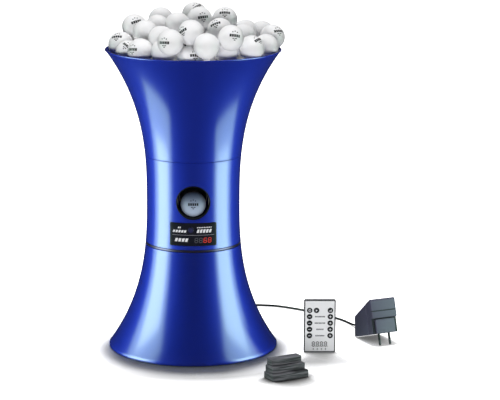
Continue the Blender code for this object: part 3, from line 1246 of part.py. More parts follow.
def make_tilt_wedge(finish):
    """Three-step rubber wedge that tips the base to set the height of the throw."""
    seat = add_empty("wedge_seat", (*WEDGE_PLACE, 0.0), (0.0, 0.0, WEDGE_YAW))
    wedge = None
    for step in range(WEDGE_STEPS):
        half = WEDGE_LENGTH / 2.0 - WEDGE_END_SETBACK * step
        front = -WEDGE_DEPTH / 2.0 + WEDGE_STEP_BACK * step
        arc = [(x, front - WEDGE_BOW * (1.0 - (x / half) ** 2)) for x in np.linspace(-half, half, 9)]
        outline = arc + [(half, WEDGE_DEPTH / 2.0), (-half, WEDGE_DEPTH / 2.0)]
        bottom = WEDGE_STEP_HEIGHT * step - (0.001 if step else 0.0)
        form = extruded(outline, bottom, WEDGE_STEP_HEIGHT * (step + 1))
        if wedge is None:
            wedge = solid("tilt_wedge", form, finish, parent=seat)
        else:
            boolean(wedge, form, "UNION")
    return wedge


def main():
    clear_scene()
    blue = material("metallic_blue", (0.012, 0.020, 0.28), 0.28, 0.55)
    black = material("black_plastic", (0.012, 0.012, 0.014), 0.35)
    grey = material("grey_plastic", (0.22, 0.23, 0.25), 0.5)
    steel = material("steel", (0.55, 0.56, 0.58), 0.35, 1.0)
    acetal = material("white_acetal", (0.75, 0.74, 0.70), 0.4)
    tan_rubber = material("tan_rubber", (0.36, 0.19, 0.09), 0.8)
    foot_rubber = material("foot_rubber", (0.03, 0.03, 0.03), 0.9)
    smoked = material("smoked_window", (0.006, 0.006, 0.010), 0.12)
    lens = material("sensor_lens", (0.03, 0.03, 0.09), 0.2)
    board_green = material("board", (0.02, 0.12, 0.05), 0.6)
    ball_white = material("ball_white", (0.80, 0.81, 0.81), 0.45)
    cord_black = material("cord_black", (0.010, 0.010, 0.012), 0.5)
    charcoal = material("charcoal_plastic", (0.060, 0.068, 0.100), 0.5)
    silver = material("brushed_face", (0.72, 0.73, 0.74), 0.4, 0.3)
    wedge_rubber = material("wedge_rubber", (0.045, 0.046, 0.050), 0.75)

    body = add_empty("body_swivel_axis", (0.0, 0.0, 0.0))
    hopper = add_empty("hopper_axis", (0.0, 0.0, 0.0), parent=body)

    make_base_shell(blue)
    make_base_deck(grey)
    make_sweep_gear(acetal)
    make_turntable_ring(black)
    make_bottom_cover(black)
    make_foot_mat(foot_rubber)
    make_dc_jack(black)

    make_body_shell(blue, body)
    make_body_deck(grey, body)
    make_pivot_ring(steel, body)
    make_sweep_motor(steel, body)
    make_sweep_pinion(acetal, add_empty("sweep_pinion_axis", (0.0, SWEEP_CENTRES, 0.0), parent=body))
    make_head_frame(grey, body)
    make_ball_chute(grey, body)
    make_outlet_ring(black, body)
    for name, side in (("top", 1.0), ("bottom", -1.0)):
        height = THROW_HEIGHT + side * WHEEL_OFFSET
        make_wheel_motor(f"{name}_motor", height, steel, body)
        axis = add_empty(f"{name}_wheel_axis", (0.0, -WHEEL_SETBACK, height), parent=body)
        make_wheel(f"{name}_wheel", grey, axis)
        make_tyre(f"{name}_tyre", tan_rubber, axis)
    make_feed_motor(steel, body)
    make_feed_tray(grey, body)
    make_feed_rotor(acetal, add_empty("feed_rotor_axis", (0.0, 0.0, 0.0), parent=body))
    make_display(smoked, lens, black, board_green, body)

    make_hopper_shell(blue, hopper)
    make_balls(ball_white, hopper, body)

    relief_tip = make_adapter(charcoal, steel, cord_black)
    make_cord(cord_black, black, cord_black, relief_tip)
    make_remote(grey, silver, black, board_green, black, steel)
    make_tilt_wedge(wedge_rubber)


main()
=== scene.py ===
"""Looks of a table tennis robot: flared blue shells, heaped balls, remote, wedge and adapter.

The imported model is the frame, and every piece here stands where its solid stands.
Metres, +Z up. The robot faces -Y, and the camera stands in front of it.
"""

import json
import logging
import math
from dataclasses import dataclass, replace
from enum import Enum
from typing import Any, Iterable, Sequence

import bpy
import numpy as np
from mathutils import Matrix, Vector


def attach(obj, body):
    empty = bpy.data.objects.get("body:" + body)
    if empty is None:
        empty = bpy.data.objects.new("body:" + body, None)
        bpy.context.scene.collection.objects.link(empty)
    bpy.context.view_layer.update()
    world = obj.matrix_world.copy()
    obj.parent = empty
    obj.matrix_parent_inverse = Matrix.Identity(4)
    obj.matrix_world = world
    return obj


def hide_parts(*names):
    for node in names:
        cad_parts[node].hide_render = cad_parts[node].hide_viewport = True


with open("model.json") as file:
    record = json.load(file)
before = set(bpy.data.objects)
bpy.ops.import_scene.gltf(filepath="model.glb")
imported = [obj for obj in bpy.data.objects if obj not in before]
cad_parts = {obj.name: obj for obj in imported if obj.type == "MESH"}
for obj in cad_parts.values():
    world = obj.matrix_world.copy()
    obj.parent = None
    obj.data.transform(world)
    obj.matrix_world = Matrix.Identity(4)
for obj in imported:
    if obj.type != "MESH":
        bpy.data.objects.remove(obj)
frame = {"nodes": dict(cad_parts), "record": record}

LOG = logging.getLogger("table_tennis_robot")
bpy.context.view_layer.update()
FIT_GAP = 0.0003
SAME_POINT = 0.000001
BLANK_SIZE = 0.01
WAIST_FRONT = -0.075
FULL_TURN = 2.0 * math.pi
QUARTER_TURN = math.pi / 2.0
WHITE = (1.0, 1.0, 1.0, 1.0)

Pair = tuple[float, float]
Triple = tuple[float, float, float]
Outline = Sequence[Pair]
Socket = bpy.types.NodeSocket
Piece = bpy.types.Object


class Primitive(Enum):
    """The forms that a piece may start from."""

    CUBE = "cube"
    PLANE = "plane"
    CIRCLE = "circle"
    CYLINDER = "cylinder"
    ROUND_BALL = "ico_sphere"


class Axis(Enum):
    """The way the end of a turned piece points, as a turn from +Z."""

    UP = (0.0, "X")
    RIGHT = (QUARTER_TURN, "Y")
    FRONT = (QUARTER_TURN, "X")
    BACK = (-QUARTER_TURN, "X")

    def turn(self) -> Matrix:
        """The matrix that lays a form made along +Z on this axis."""
        return Matrix.Rotation(self.value[0], 4, self.value[1])


class Combine(Enum):
    """What one piece does to another that it meets."""

    CUT = "DIFFERENCE"
    UNITE = "UNION"


# Modelling by hand, in code


def deselect_all() -> None:
    """Clear the selection, because an operator acts on all that is selected."""
    bpy.ops.object.select_all(action="DESELECT")


def make_active(piece: Piece) -> None:
    """Select one piece alone.

    Args:
        piece: The object that the next operators act on.
    """
    deselect_all()
    piece.select_set(True)
    bpy.context.view_layer.objects.active = piece


def start(kind: Primitive, name: str, **settings: Any) -> Piece:
    """Add a primitive and select it alone.

    Args:
        kind: The primitive to start from.
        name: The name of the new piece.
        **settings: The primitive's own settings, such as its size and place.

    Returns:
        The new object.
    """
    deselect_all()
    getattr(bpy.ops.mesh, f"primitive_{kind.value}_add")(**settings)
    piece = bpy.context.active_object
    piece.name = name
    piece.data.name = name
    return piece


def edit(piece: Piece) -> None:
    """Enter edit mode with everything selected.

    Args:
        piece: The object to edit.
    """
    make_active(piece)
    bpy.ops.object.mode_set(mode="EDIT")
    bpy.ops.mesh.select_all(action="SELECT")


def leave_edit() -> None:
    """Go back to object mode."""
    bpy.ops.object.mode_set(mode="OBJECT")


def thicken(move: Sequence[float]) -> None:
    """Extrude the whole mesh in edit mode, turn its faces outwards and leave edit mode.

    Args:
        move: How far and which way.
    """
    bpy.ops.mesh.select_all(action="SELECT")
    bpy.ops.mesh.extrude_region_move(TRANSFORM_OT_translate={"value": move})
    bpy.ops.mesh.select_all(action="SELECT")
    bpy.ops.mesh.normals_make_consistent(inside=False)
    leave_edit()


def fix_normals(piece: Piece) -> None:
    """Merge doubles and turn every face outwards.

    Args:
        piece: A closed shape.
    """
    edit(piece)
    bpy.ops.mesh.remove_doubles(threshold=2.0 * SAME_POINT)
    bpy.ops.mesh.normals_make_consistent(inside=False)
    leave_edit()


def freeze(piece: Piece) -> None:
    """Put a piece's place, turn and scale into its mesh.

    Args:
        piece: The object to apply.
    """
    make_active(piece)
    bpy.ops.object.transform_apply(location=True, rotation=True, scale=True)


def move_mesh(piece: Piece, matrix: Matrix) -> Piece:
    """Carry a piece to its place and leave its object at the origin.

    Args:
        piece: The piece, made about the origin.
        matrix: Where it goes.

    Returns:
        The same piece.
    """
    piece.matrix_world = matrix
    freeze(piece)
    return piece


def apply_modifier(piece: Piece, kind: str, **settings: Any) -> None:
    """Add a modifier, set it up and apply it.

    Args:
        piece: The object that gets it.
        kind: The modifier's type.
        **settings: Its fields.
    """
    make_active(piece)
    step = piece.modifiers.new(kind.title(), kind)
    for field, value in settings.items():
        setattr(step, field, value)
    bpy.ops.object.modifier_apply(modifier=step.name)


def combine(piece: Piece, tool: Piece, how: Combine = Combine.CUT) -> None:
    """Cut a piece with another or unite them; the other is used up.

    Args:
        piece: The piece that stays.
        tool: The piece that is used up.
        how: Whether the tool cuts or is added.
    """
    apply_modifier(piece, "BOOLEAN", operation=how.value, solver="EXACT", object=tool)
    bpy.data.objects.remove(tool, do_unlink=True)


def soften_edges(piece: Piece, width: float, segments: int = 2, angle: float = 30.0) -> None:
    """Round the sharp edges of a piece.

    Args:
        piece: The piece.
        width: The width of the rounding.
        segments: How many steps it has.
        angle: The least angle, in degrees, of an edge that is rounded.
    """
    apply_modifier(piece, "BEVEL", width=width, segments=segments, limit_method="ANGLE",
                   angle_limit=math.radians(angle), harden_normals=False)


def smooth(piece: Piece, angle: float = 35.0) -> None:
    """Shade smooth, with edges past an angle kept sharp.

    Args:
        piece: The piece.
        angle: The angle in degrees.
    """
    make_active(piece)
    bpy.ops.object.shade_smooth_by_angle(angle=math.radians(angle))


def lathe(name: str, outline: Outline, steps: int, axis: Axis = Axis.UP,
          place: Sequence[float] = (0.0, 0.0, 0.0)) -> Piece:
    """Spin a closed section about an axis.

    Args:
        name: The name of the new piece.
        outline: The section as (radius, height) points; a radius of 0 lies on the axis.
        steps: How many faces go round.
        axis: The way that heights grow.
        place: Where the section's origin goes.

    Returns:
        The turned piece, closed, with its faces outwards.
    """
    piece = start(Primitive.PLANE, name, size=BLANK_SIZE)
    edit(piece)
    bpy.ops.mesh.merge(type="CENTER")
    bpy.ops.transform.translate(value=(outline[0][0], 0.0, outline[0][1]))
    loop = list(outline) + ([outline[0]] if outline[0][0] > 0.0 else [])
    for (radius, height), (after, rise) in zip(loop, loop[1:]):
        bpy.ops.mesh.extrude_region_move(
            TRANSFORM_OT_translate={"value": (after - radius, 0.0, rise - height)})
    bpy.ops.mesh.select_all(action="SELECT")
    bpy.ops.mesh.remove_doubles(threshold=SAME_POINT)
    bpy.ops.mesh.spin(steps=steps, angle=FULL_TURN, center=(0.0, 0.0, 0.0), axis=(0.0, 0.0, 1.0))
    leave_edit()
    fix_normals(piece)
    return move_mesh(piece, Matrix.Translation(Vector(place)) @ axis.turn())


def flat_form(name: str, outline: Outline, depth: float = 0.0) -> Piece:
    """An upright face, left in edit mode.

    Args:
        name: The name of the new piece.
        outline: Its (x, z) points in order.
        depth: Its Y.

    Returns:
        The face.
    """
    piece = start(Primitive.CIRCLE, name, vertices=len(outline), radius=BLANK_SIZE, fill_type="NGON")
    for vertex, (x, z) in zip(piece.data.vertices, outline):
        vertex.co = (x, depth, z)
    edit(piece)
    return piece


def prism(name: str, outline: Outline, front: float, back: float, matrix: Matrix | None = None) -> Piece:
    """Extrude an upright outline from a front depth to a back depth.

    Args:
        name: The name of the new piece.
        outline: Its (x, z) points in order.
        front: The Y of its front face.
        back: The Y of its back face.
        matrix: Where it goes, if not where it is made.

    Returns:
        The closed prism.
    """
    piece = flat_form(name, outline, front)
    thicken((0.0, back - front, 0.0))
    return move_mesh(piece, matrix) if matrix is not None else piece


def rod(name: str, radius: float, length: float, middle: Sequence[float] = (0.0, 0.0, 0.0),
        sides: int = 48, tilt: float = QUARTER_TURN) -> Piece:
    """A round rod that drills a hole.

    Args:
        name: The name of the new piece.
        radius: The hole's radius.
        length: The rod's length.
        middle: The rod's middle.
        sides: How many faces go round.
        tilt: Its turn about X: a quarter lays it front to back, and 0 stands it up.

    Returns:
        The rod.
    """
    return start(Primitive.CYLINDER, name, vertices=sides, radius=radius, depth=length, location=middle,
                 rotation=(tilt, 0.0, 0.0))


def box(name: str, low: Sequence[float], high: Sequence[float]) -> Piece:
    """A block from its lowest to its highest corner.

    Args:
        name: The name of the new piece.
        low: The lowest corner.
        high: The highest corner.

    Returns:
        The block.
    """
    size = [b - a for a, b in zip(low, high)]
    middle = [(a + b) / 2.0 for a, b in zip(low, high)]
    piece = start(Primitive.CUBE, name, size=1.0, location=middle, scale=size)
    freeze(piece)
    return piece


def join(name: str, parts: Iterable[Piece]) -> Piece:
    """Make one piece of several.

    Args:
        name: The name of the joined piece.
        parts: The pieces, which are used up.

    Returns:
        The joined piece.
    """
    deselect_all()
    parts = list(parts)
    for part in parts:
        part.select_set(True)
    bpy.context.view_layer.objects.active = parts[0]
    if len(parts) > 1:
        bpy.ops.object.join()
    parts[0].name = name
    return parts[0]


def copy_of(piece: Piece, name: str, matrix: Matrix) -> Piece:
    """A copy with its own mesh, carried to its place.

    Args:
        piece: The piece modelled once.
        name: The copy's name.
        matrix: Where the copy goes.

    Returns:
        The copy.
    """
    made = piece.copy()
    made.data = piece.data.copy()
    made.name = name
    bpy.context.scene.collection.objects.link(made)
    made.data.transform(matrix)
    return made


def dress(piece: Piece, finish: bpy.types.Material, slot: str, body: str,
          *replaced: str) -> Piece:
    """Give a piece its material and its body, and hide the nodes it stands for.

    Args:
        piece: The finished piece.
        finish: Its material.
        slot: The record's slot; not used.
        body: The body it rides on.
        *replaced: CAD nodes that it hides.

    Returns:
        The same piece.
    """
    if piece.data.materials:
        for place in range(len(piece.data.materials)):
            piece.data.materials[place] = finish
    else:
        piece.data.materials.append(finish)
    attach(piece, body)
    if replaced:
        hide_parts(*replaced)
    LOG.info("piece %s on %s", piece.name, body)
    return piece


def rounded_rectangle(width: float, height: float, corner: float, steps: int = 6,
                      centre: Pair = (0.0, 0.0)) -> list[Pair]:
    """Outline of a rectangle with round corners.

    Args:
        width: Its width.
        height: Its height.
        corner: The radius of its corners.
        steps: The steps in each corner.
        centre: Its middle.

    Returns:
        The outline's points in order.
    """
    points = []
    for quarter, (side, up) in enumerate([(1, 1), (-1, 1), (-1, -1), (1, -1)]):
        for step in range(steps + 1):
            angle = QUARTER_TURN * (quarter + step / steps)
            points.append((centre[0] + side * (width / 2.0 - corner) + corner * math.cos(angle),
                           centre[1] + up * (height / 2.0 - corner) + corner * math.sin(angle)))
    return points


def round_outline(radius: float, steps: int, centre: Pair = (0.0, 0.0)) -> list[Pair]:
    """Outline of a disc.

    Args:
        radius: Its radius.
        steps: How many points it has.
        centre: Its middle.

    Returns:
        The outline's points in order.
    """
    return [(centre[0] + radius * math.cos(FULL_TURN * step / steps),
             centre[1] + radius * math.sin(FULL_TURN * step / steps)) for step in range(steps)]


def block_outline(left: float, right: float, low: float, high: float, lean: float = 0.0) -> list[Pair]:
    """Outline of an upright block, or of a slanted one.

    Args:
        left: Its left side.
        right: Its right side.
        low: Its bottom.
        high: Its top.
        lean: How far the top leans right and the bottom left.

    Returns:
        The outline's points in order.
    """
    return [(left - lean, low), (right - lean, low), (right + lean, high), (left + lean, high)]


def soft_corner(radius: float, height: float, out: float, up: float, soft: float) -> list[Pair]:
    """The three points that round a corner of a turned section.

    Args:
        radius: The corner's radius.
        height: The corner's height.
        out: 1 where the corner points outwards, or -1 inwards.
        up: 1 where the section goes on above it, or -1 below.
        soft: How far the rounding reaches.

    Returns:
        Points from the level face to the upright one.
    """
    nick = soft * 0.3
    return [(radius - out * soft, height), (radius - out * nick, height + up * nick),
            (radius, height + up * soft)]


# Finishes


def linear(colour: str) -> tuple[float, float, float, float]:
    """Turn an sRGB hex colour into linear light.

    Args:
        colour: Six hex digits after a hash.

    Returns:
        Red, green, blue and alpha.
    """
    parts = [int(colour[place:place + 2], 16) / 255.0 for place in (1, 3, 5)]
    lit = [part / 12.92 if part <= 0.04045 else ((part + 0.055) / 1.055) ** 2.4 for part in parts]
    return (lit[0], lit[1], lit[2], 1.0)


def add_node(tree: bpy.types.NodeTree, kind: str, inputs: dict[Any, Any] | None = None,
             **settings: Any) -> bpy.types.Node:
    """Add a node, set its fields, and fill its inputs with values or links.

    Args:
        tree: The material's node tree.
        kind: The node's type.
        inputs: For each input, a value or the output socket that feeds it.
        **settings: The node's own fields.

    Returns:
        The new node.
    """
    node = tree.nodes.new(kind)
    for field, value in settings.items():
        setattr(node, field, value)
    for socket, value in (inputs or {}).items():
        if isinstance(value, bpy.types.NodeSocket):
            tree.links.new(value, node.inputs[socket])
        else:
            node.inputs[socket].default_value = value
    return node


@dataclass(frozen=True)
class Bench:
    """A node tree at work, with a short way to add each node that recurs."""

    tree: bpy.types.NodeTree

    def add(self, kind: str, inputs: dict[Any, Any] | None = None, **settings: Any) -> bpy.types.Node:
        """Add a node to this tree, as add_node does."""
        return add_node(self.tree, kind, inputs, **settings)

    def seen(self) -> Socket:
        """1 where the camera looks straight at the surface, and 0 elsewhere."""
        return self.add("ShaderNodeLightPath").outputs["Is Camera Ray"]

    def noise(self, place: Socket, size_mm: float, detail: float, distortion: float = 0.0) -> Socket:
        """Clouds of one size.

        Args:
            place: The coordinates that they follow.
            size_mm: Their size.
            detail: How many finer clouds lie in them.
            distortion: How much they curl.

        Returns:
            Their strength, 0 to 1.
        """
        return self.add("ShaderNodeTexNoise", {
            "Vector": place, "Scale": 1.0 / (size_mm / 1000.0), "Detail": detail,
            "Distortion": distortion}).outputs["Fac"]

    def span(self, value: Socket, low: float, high: float, start_at: float = 0.0, end_at: float = 1.0,
             **settings: Any) -> Socket:
        """Lay a value's range on another one.

        Args:
            value: The value.
            low: What its start becomes.
            high: What its end becomes.
            start_at: Where its range starts.
            end_at: Where its range ends.
            **settings: The node's own fields.

        Returns:
            The new value.
        """
        return self.add("ShaderNodeMapRange", {
            "Value": value, "From Min": start_at, "From Max": end_at, "To Min": low, "To Max": high},
            **settings).outputs["Result"]

    def mix(self, share: Socket, first: tuple, second: tuple) -> Socket:
        """Mix two colours.

        Args:
            share: The share of the second colour.
            first: A linear colour.
            second: Another one.

        Returns:
            The mixed colour.
        """
        return self.add("ShaderNodeMix", {"Factor": share, "A": first, "B": second},
                        data_type="RGBA").outputs["Result"]

    def maths(self, first: Socket, second: Socket, operation: str = "MULTIPLY") -> Socket:
        """Do arithmetic with two values: multiply them, unless another operation is named.

        Args:
            first: A value.
            second: Another one.
            operation: What is done.

        Returns:
            The result.
        """
        return self.add("ShaderNodeMath", {0: first, 1: second}, operation=operation).outputs["Value"]


@dataclass(frozen=True)
class Surface(Bench):
    """A material being made: its nodes, its shader and the coordinates that its patterns follow."""

    shader: bpy.types.Node
    place: Socket

    def set(self, **values: Any) -> None:
        """Set uniform values straight on the shader's sockets, an underscore for each space.

        Args:
            **values: The value for each socket.
        """
        for name, value in values.items():
            self.shader.inputs[name.replace("_", " ")].default_value = value

    def feed(self, name: str, value: Socket) -> None:
        """Link a value to one of the shader's sockets."""
        self.tree.links.new(value, self.shader.inputs[name])

    def bump(self, height: Socket, depth_mm: float) -> None:
        """Give the surface a relief.

        Args:
            height: The relief, 0 to 1.
            depth_mm: How deep it is.
        """
        relief = self.add("ShaderNodeBump", {
            "Height": height, "Distance": depth_mm / 1000.0, "Strength": 1.0})
        self.feed("Normal", relief.outputs["Normal"])


@dataclass(frozen=True)
class Finish:
    """A moulded surface: one colour that wanders a little, and a fine grain."""

    name: str
    colour: str
    roughness: float = 0.45
    metallic: float = 0.0
    ior: float = 1.46
    coat: float = 0.0
    coat_roughness: float = 0.1
    coat_ior: float = 1.5
    mottle_mm: float = 9.0
    mottle_depth: float = 0.06
    grain_mm: float = 0.8
    grain_depth_mm: float = 0.012
    grain_detail: float = 2.0
    stretch: Triple = (1.0, 1.0, 1.0)

    def make(self) -> bpy.types.Material:
        """Build the material.

        Returns:
            The finished material.
        """
        made = bpy.data.materials.new(self.name)
        made.use_nodes = True
        tree = made.node_tree
        place = add_node(tree, "ShaderNodeTexCoord").outputs["Object"]
        place = add_node(tree, "ShaderNodeMapping", {
            "Vector": place, "Scale": self.stretch}).outputs["Vector"]
        surface = Surface(tree, tree.nodes["Principled BSDF"], place)
        surface.set(Metallic=self.metallic, Roughness=self.roughness, Coat_Weight=self.coat,
                    Coat_Roughness=self.coat_roughness, Coat_IOR=self.coat_ior)
        if self.metallic < 0.5:
            surface.set(IOR=self.ior)
        self.paint(surface)
        self.grain(surface)
        return made

    def paint(self, surface: Surface) -> None:
        """Colour that wanders between the named one and a shade darker.

        Args:
            surface: The material being made.
        """
        light = linear(self.colour)
        dark = tuple(part * (1.0 - self.mottle_depth) for part in light[:3]) + (1.0,)
        cloud = surface.noise(surface.place, self.mottle_mm, 3.0)
        surface.feed("Base Color", surface.mix(cloud, dark, light))

    def grain(self, surface: Surface) -> None:
        """Fine relief of the mould.

        Args:
            surface: The material being made.
        """
        surface.bump(surface.noise(surface.place, self.grain_mm, self.grain_detail), self.grain_depth_mm)


@dataclass(frozen=True)
class FlakeLacquer(Finish):
    """Metallic blue lacquer on ABS: fine aluminium flake under a clear coat."""

    grain_detail: float = 1.0
    flake_mm: float = 0.5
    flake_spread: float = 0.10

    def grain(self, surface: Surface) -> None:
        """Flakes that catch the light one by one, drawn coarser than life so that they show.

        Args:
            surface: The material being made.
        """
        flakes = surface.add("ShaderNodeTexVoronoi", {
            "Vector": surface.place, "Scale": 1.0 / (self.flake_mm / 1000.0)}).outputs["Color"]
        value = surface.add("ShaderNodeSeparateColor", {"Color": flakes}).outputs["Red"]
        reach = self.flake_spread / 2.0
        surface.feed("Roughness", surface.span(value, self.roughness - reach, self.roughness + reach))
        super().grain(surface)


@dataclass(frozen=True)
class BallPlastic(Finish):
    """Thin white ball plastic: dull, and light passes a little way into it."""

    depth_mm: float = 3.0
    scatter: float = 0.25
    scatter_tint: Triple = (1.0, 0.95, 0.9)

    def paint(self, surface: Surface) -> None:
        """White with light scattered under the skin.

        Args:
            surface: The material being made.
        """
        super().paint(surface)
        surface.set(Subsurface_Weight=self.scatter, Subsurface_Radius=self.scatter_tint,
                    Subsurface_Scale=self.depth_mm / 1000.0)


@dataclass(frozen=True)
class ShadedBall(Finish):
    """The ball in the outlet: painted shade darkens it towards the lip, and a painted blue tint stands for
    light off the lacquer.
    """

    shade: str = "#3C4A66"
    shade_span: Pair = (0.2350, 0.2640)

    def paint(self, surface: Surface) -> None:
        """Painted shade: blue-grey that darkens towards the lip.

        Args:
            surface: The material being made.
        """
        height = surface.add("ShaderNodeSeparateXYZ", {"Vector": surface.place}).outputs["Z"]
        share = surface.span(height, 0.0, 1.0, *self.shade_span)
        surface.feed("Base Color", surface.mix(share, linear(self.colour), linear(self.shade)))


@dataclass(frozen=True)
class BrushedFilm(Finish):
    """Silver film on the remote's face: fine lines run across it."""

    line_spread: float = 0.08

    def grain(self, surface: Surface) -> None:
        """Brush lines that vary the gloss more than the shape.

        Args:
            surface: The material being made.
        """
        lines = surface.noise(surface.place, self.grain_mm, self.grain_detail)
        surface.feed("Roughness", surface.span(
            lines, self.roughness - self.line_spread, self.roughness + self.line_spread))
        surface.bump(lines, self.grain_depth_mm)


@dataclass(frozen=True)
class StreakedRubber(Finish):
    """Moulded rubber with pale streaks of bloom that follow its length."""

    bloom: str = "#8A8A90"
    bloom_share: float = 0.55
    bloom_span: Pair = (0.42, 0.72)
    curl: float = 0.1

    def paint(self, surface: Surface) -> None:
        """Dark rubber under streaks of bloom.

        Args:
            surface: The material being made.
        """
        waves = surface.noise(surface.place, self.mottle_mm, 2.0, self.curl)
        share = surface.span(waves, 0.0, self.bloom_share, *self.bloom_span)
        surface.feed("Base Color", surface.mix(share, linear(self.colour), linear(self.bloom)))


@dataclass(frozen=True)
class LitSegment(Finish):
    """A display segment that glows through the smoked window."""

    glow: float = 0.45

    def paint(self, surface: Surface) -> None:
        """The lit colour, given off as light too.

        Args:
            surface: The material being made.
        """
        super().paint(surface)
        surface.set(Emission_Color=linear(self.colour), Emission_Strength=self.glow)


class Finishes:
    """Every material of the robot and its set, made once."""

    def __init__(self) -> None:
        """Make the materials."""
        # Deep blue in the middle, with broad soft bands of light down both sides.
        lacquer = FlakeLacquer("sprayed_metallic_blue_lacquer_on_abs", "#1132C8", roughness=0.62,
                               metallic=0.82, coat=1.0, coat_roughness=0.20, coat_ior=2.12,
                               mottle_depth=0.03, grain_mm=2.5, grain_depth_mm=0.004)
        self.blue = lacquer.make()
        # Painted shade: the same lacquer on the flared base, made a touch darker where it faces up.
        self.base_blue_with_painted_shade = replace(lacquer, name="metallic_blue_lacquer_with_painted_shade_on_the_base", colour="#0E2EBE",
                                 metallic=0.95).make()
        # A near-black ring that keeps every lamp off its bore.
        self.muzzle = Finish("moulded_black_acetal", "#08080C", roughness=0.5, ior=1.3).make()
        # Black with a soft sheen, on housings that hardly show.
        self.black = Finish("black_moulded_abs", "#15151A", roughness=0.32).make()
        # A polished line between base and body, bright where the lamps stand and dark in front.
        self.ring_black = Finish("dark_chrome_plated_abs", "#6C6482", roughness=0.30, metallic=0.95).make()
        # Plain mid grey, dull.
        self.grey = Finish("grey_moulded_abs", "#6E7176", roughness=0.5).make()
        # Milky white with a waxy shine.
        self.acetal = Finish("moulded_natural_acetal", "#E4E2DC", roughness=0.38).make()
        # Dull grey metal, darker than a mirror would be.
        self.pin_steel = Finish("dull_nickel_plated_brass", "#4C4D52", roughness=0.5, metallic=0.5).make()
        # Bright metal with fine lines along the shaft.
        self.steel = Finish("ground_nickel_plated_steel", "#C4C6CA", roughness=0.3, metallic=1.0,
                            grain_mm=0.5, grain_depth_mm=0.003, stretch=(1.0, 1.0, 12.0)).make()
        # Warm brown and quite dull, like crepe soles.
        self.tan = Finish("moulded_tan_gum_rubber", "#9A6A3C", roughness=0.8, grain_depth_mm=0.03).make()
        # Black without shine.
        self.foot = Finish("moulded_black_rubber", "#1B1B1C", roughness=0.85, grain_depth_mm=0.03).make()
        # Nearly black, smooth, with only a faint reflection.
        self.window = Finish("cast_smoked_acrylic", "#151620", roughness=0.30, ior=1.25,
                             grain_depth_mm=0.001).make()
        # A small dark violet dome with a highlight.
        self.lens = Finish("moulded_violet_polycarbonate", "#2B2C4E", roughness=0.2, coat=0.4).make()
        # Green enamel of a circuit board.
        self.board = Finish("green_solder_mask_on_glass_epoxy", "#1E6A3A", roughness=0.4).make()
        # Soft white that glows a little at its edges.
        self.ball = BallPlastic("moulded_white_abs", "#F0F0F1", roughness=0.45, ior=1.35, mottle_mm=25.0,
                                mottle_depth=0.02, grain_mm=0.5, grain_depth_mm=0.004).make()
        # The same plastic with painted shade for the outlet, pale blue below and dark above; the blue is
        # painted light off the lacquer.
        self.shaded_ball = ShadedBall("white_abs_with_painted_shade", "#AAB9CE", roughness=0.45, ior=1.35,
                                      grain_mm=0.5, grain_depth_mm=0.004).make()
        # Flat black marks on the balls.
        self.stamp = Finish("stamped_black_ink", "#18181C", roughness=0.5).make()
        # Black flexible plastic with a dull shine along its top.
        self.cord = Finish("extruded_black_pvc", "#17171B", roughness=0.45, grain_mm=1.2).make()
        # Dark violet grey with a fine grain.
        self.charcoal = Finish("charcoal_moulded_abs", "#4E4E60", roughness=0.48, coat=0.08,
                               coat_roughness=0.25, grain_mm=0.7, grain_depth_mm=0.02).make()
        # Painted shade: the same plastic made nearly black where little light comes.
        self.recess = Finish("charcoal_abs_with_painted_shade", "#23252C", roughness=0.6).make()
        # Black sleeves on the bright pins.
        self.sleeve = Finish("moulded_black_nylon_sleeve", "#141418", roughness=0.4).make()
        # A dark grey rim round the silver face.
        self.remote_grey = Finish("dark_grey_moulded_abs", "#44464B", roughness=0.4).make()
        # Pale silver, nearly white, with the faintest lines across.
        self.film = BrushedFilm("brushed_silver_polyester_film", "#F2F3F5", roughness=0.42, metallic=0.05,
                                grain_mm=0.6, grain_depth_mm=0.006, stretch=(0.05, 1.0, 1.0)).make()
        # Prints: clean white, dark grey on silver, and a thin grey line on the window.
        self.white_ink = Finish("screen_printed_white_ink", "#E8E8EC", roughness=0.5).make()
        self.dark_ink = Finish("screen_printed_dark_grey_ink", "#26272C", roughness=0.5).make()
        self.grey_ink = Finish("screen_printed_grey_ink", "#9C9CA4", roughness=0.5).make()
        # Display bars: dim grey when off, dull red when lit.
        self.dim_segment = Finish("cast_epoxy_segment_unlit", "#54545C", roughness=0.5).make()
        self.lit_segment = LitSegment("cast_epoxy_segment_lit", "#C8352A", roughness=0.5).make()
        # Black rubber buttons with a soft shine.
        self.button = Finish("moulded_black_silicone", "#1E1E22", roughness=0.5).make()
        # Black rubber with pale streaks along it.
        self.rubber = StreakedRubber("extruded_black_rubber", "#2E2D31", roughness=0.62, ior=1.3,
                                     mottle_mm=2.0, grain_mm=1.2, grain_depth_mm=0.02,
                                     stretch=(0.04, 0.07, 1.0)).make()


@dataclass
class SubAssembly:
    """A group of pieces that belong together, dressed in the shared materials."""

    finishes: Finishes


# The hourglass


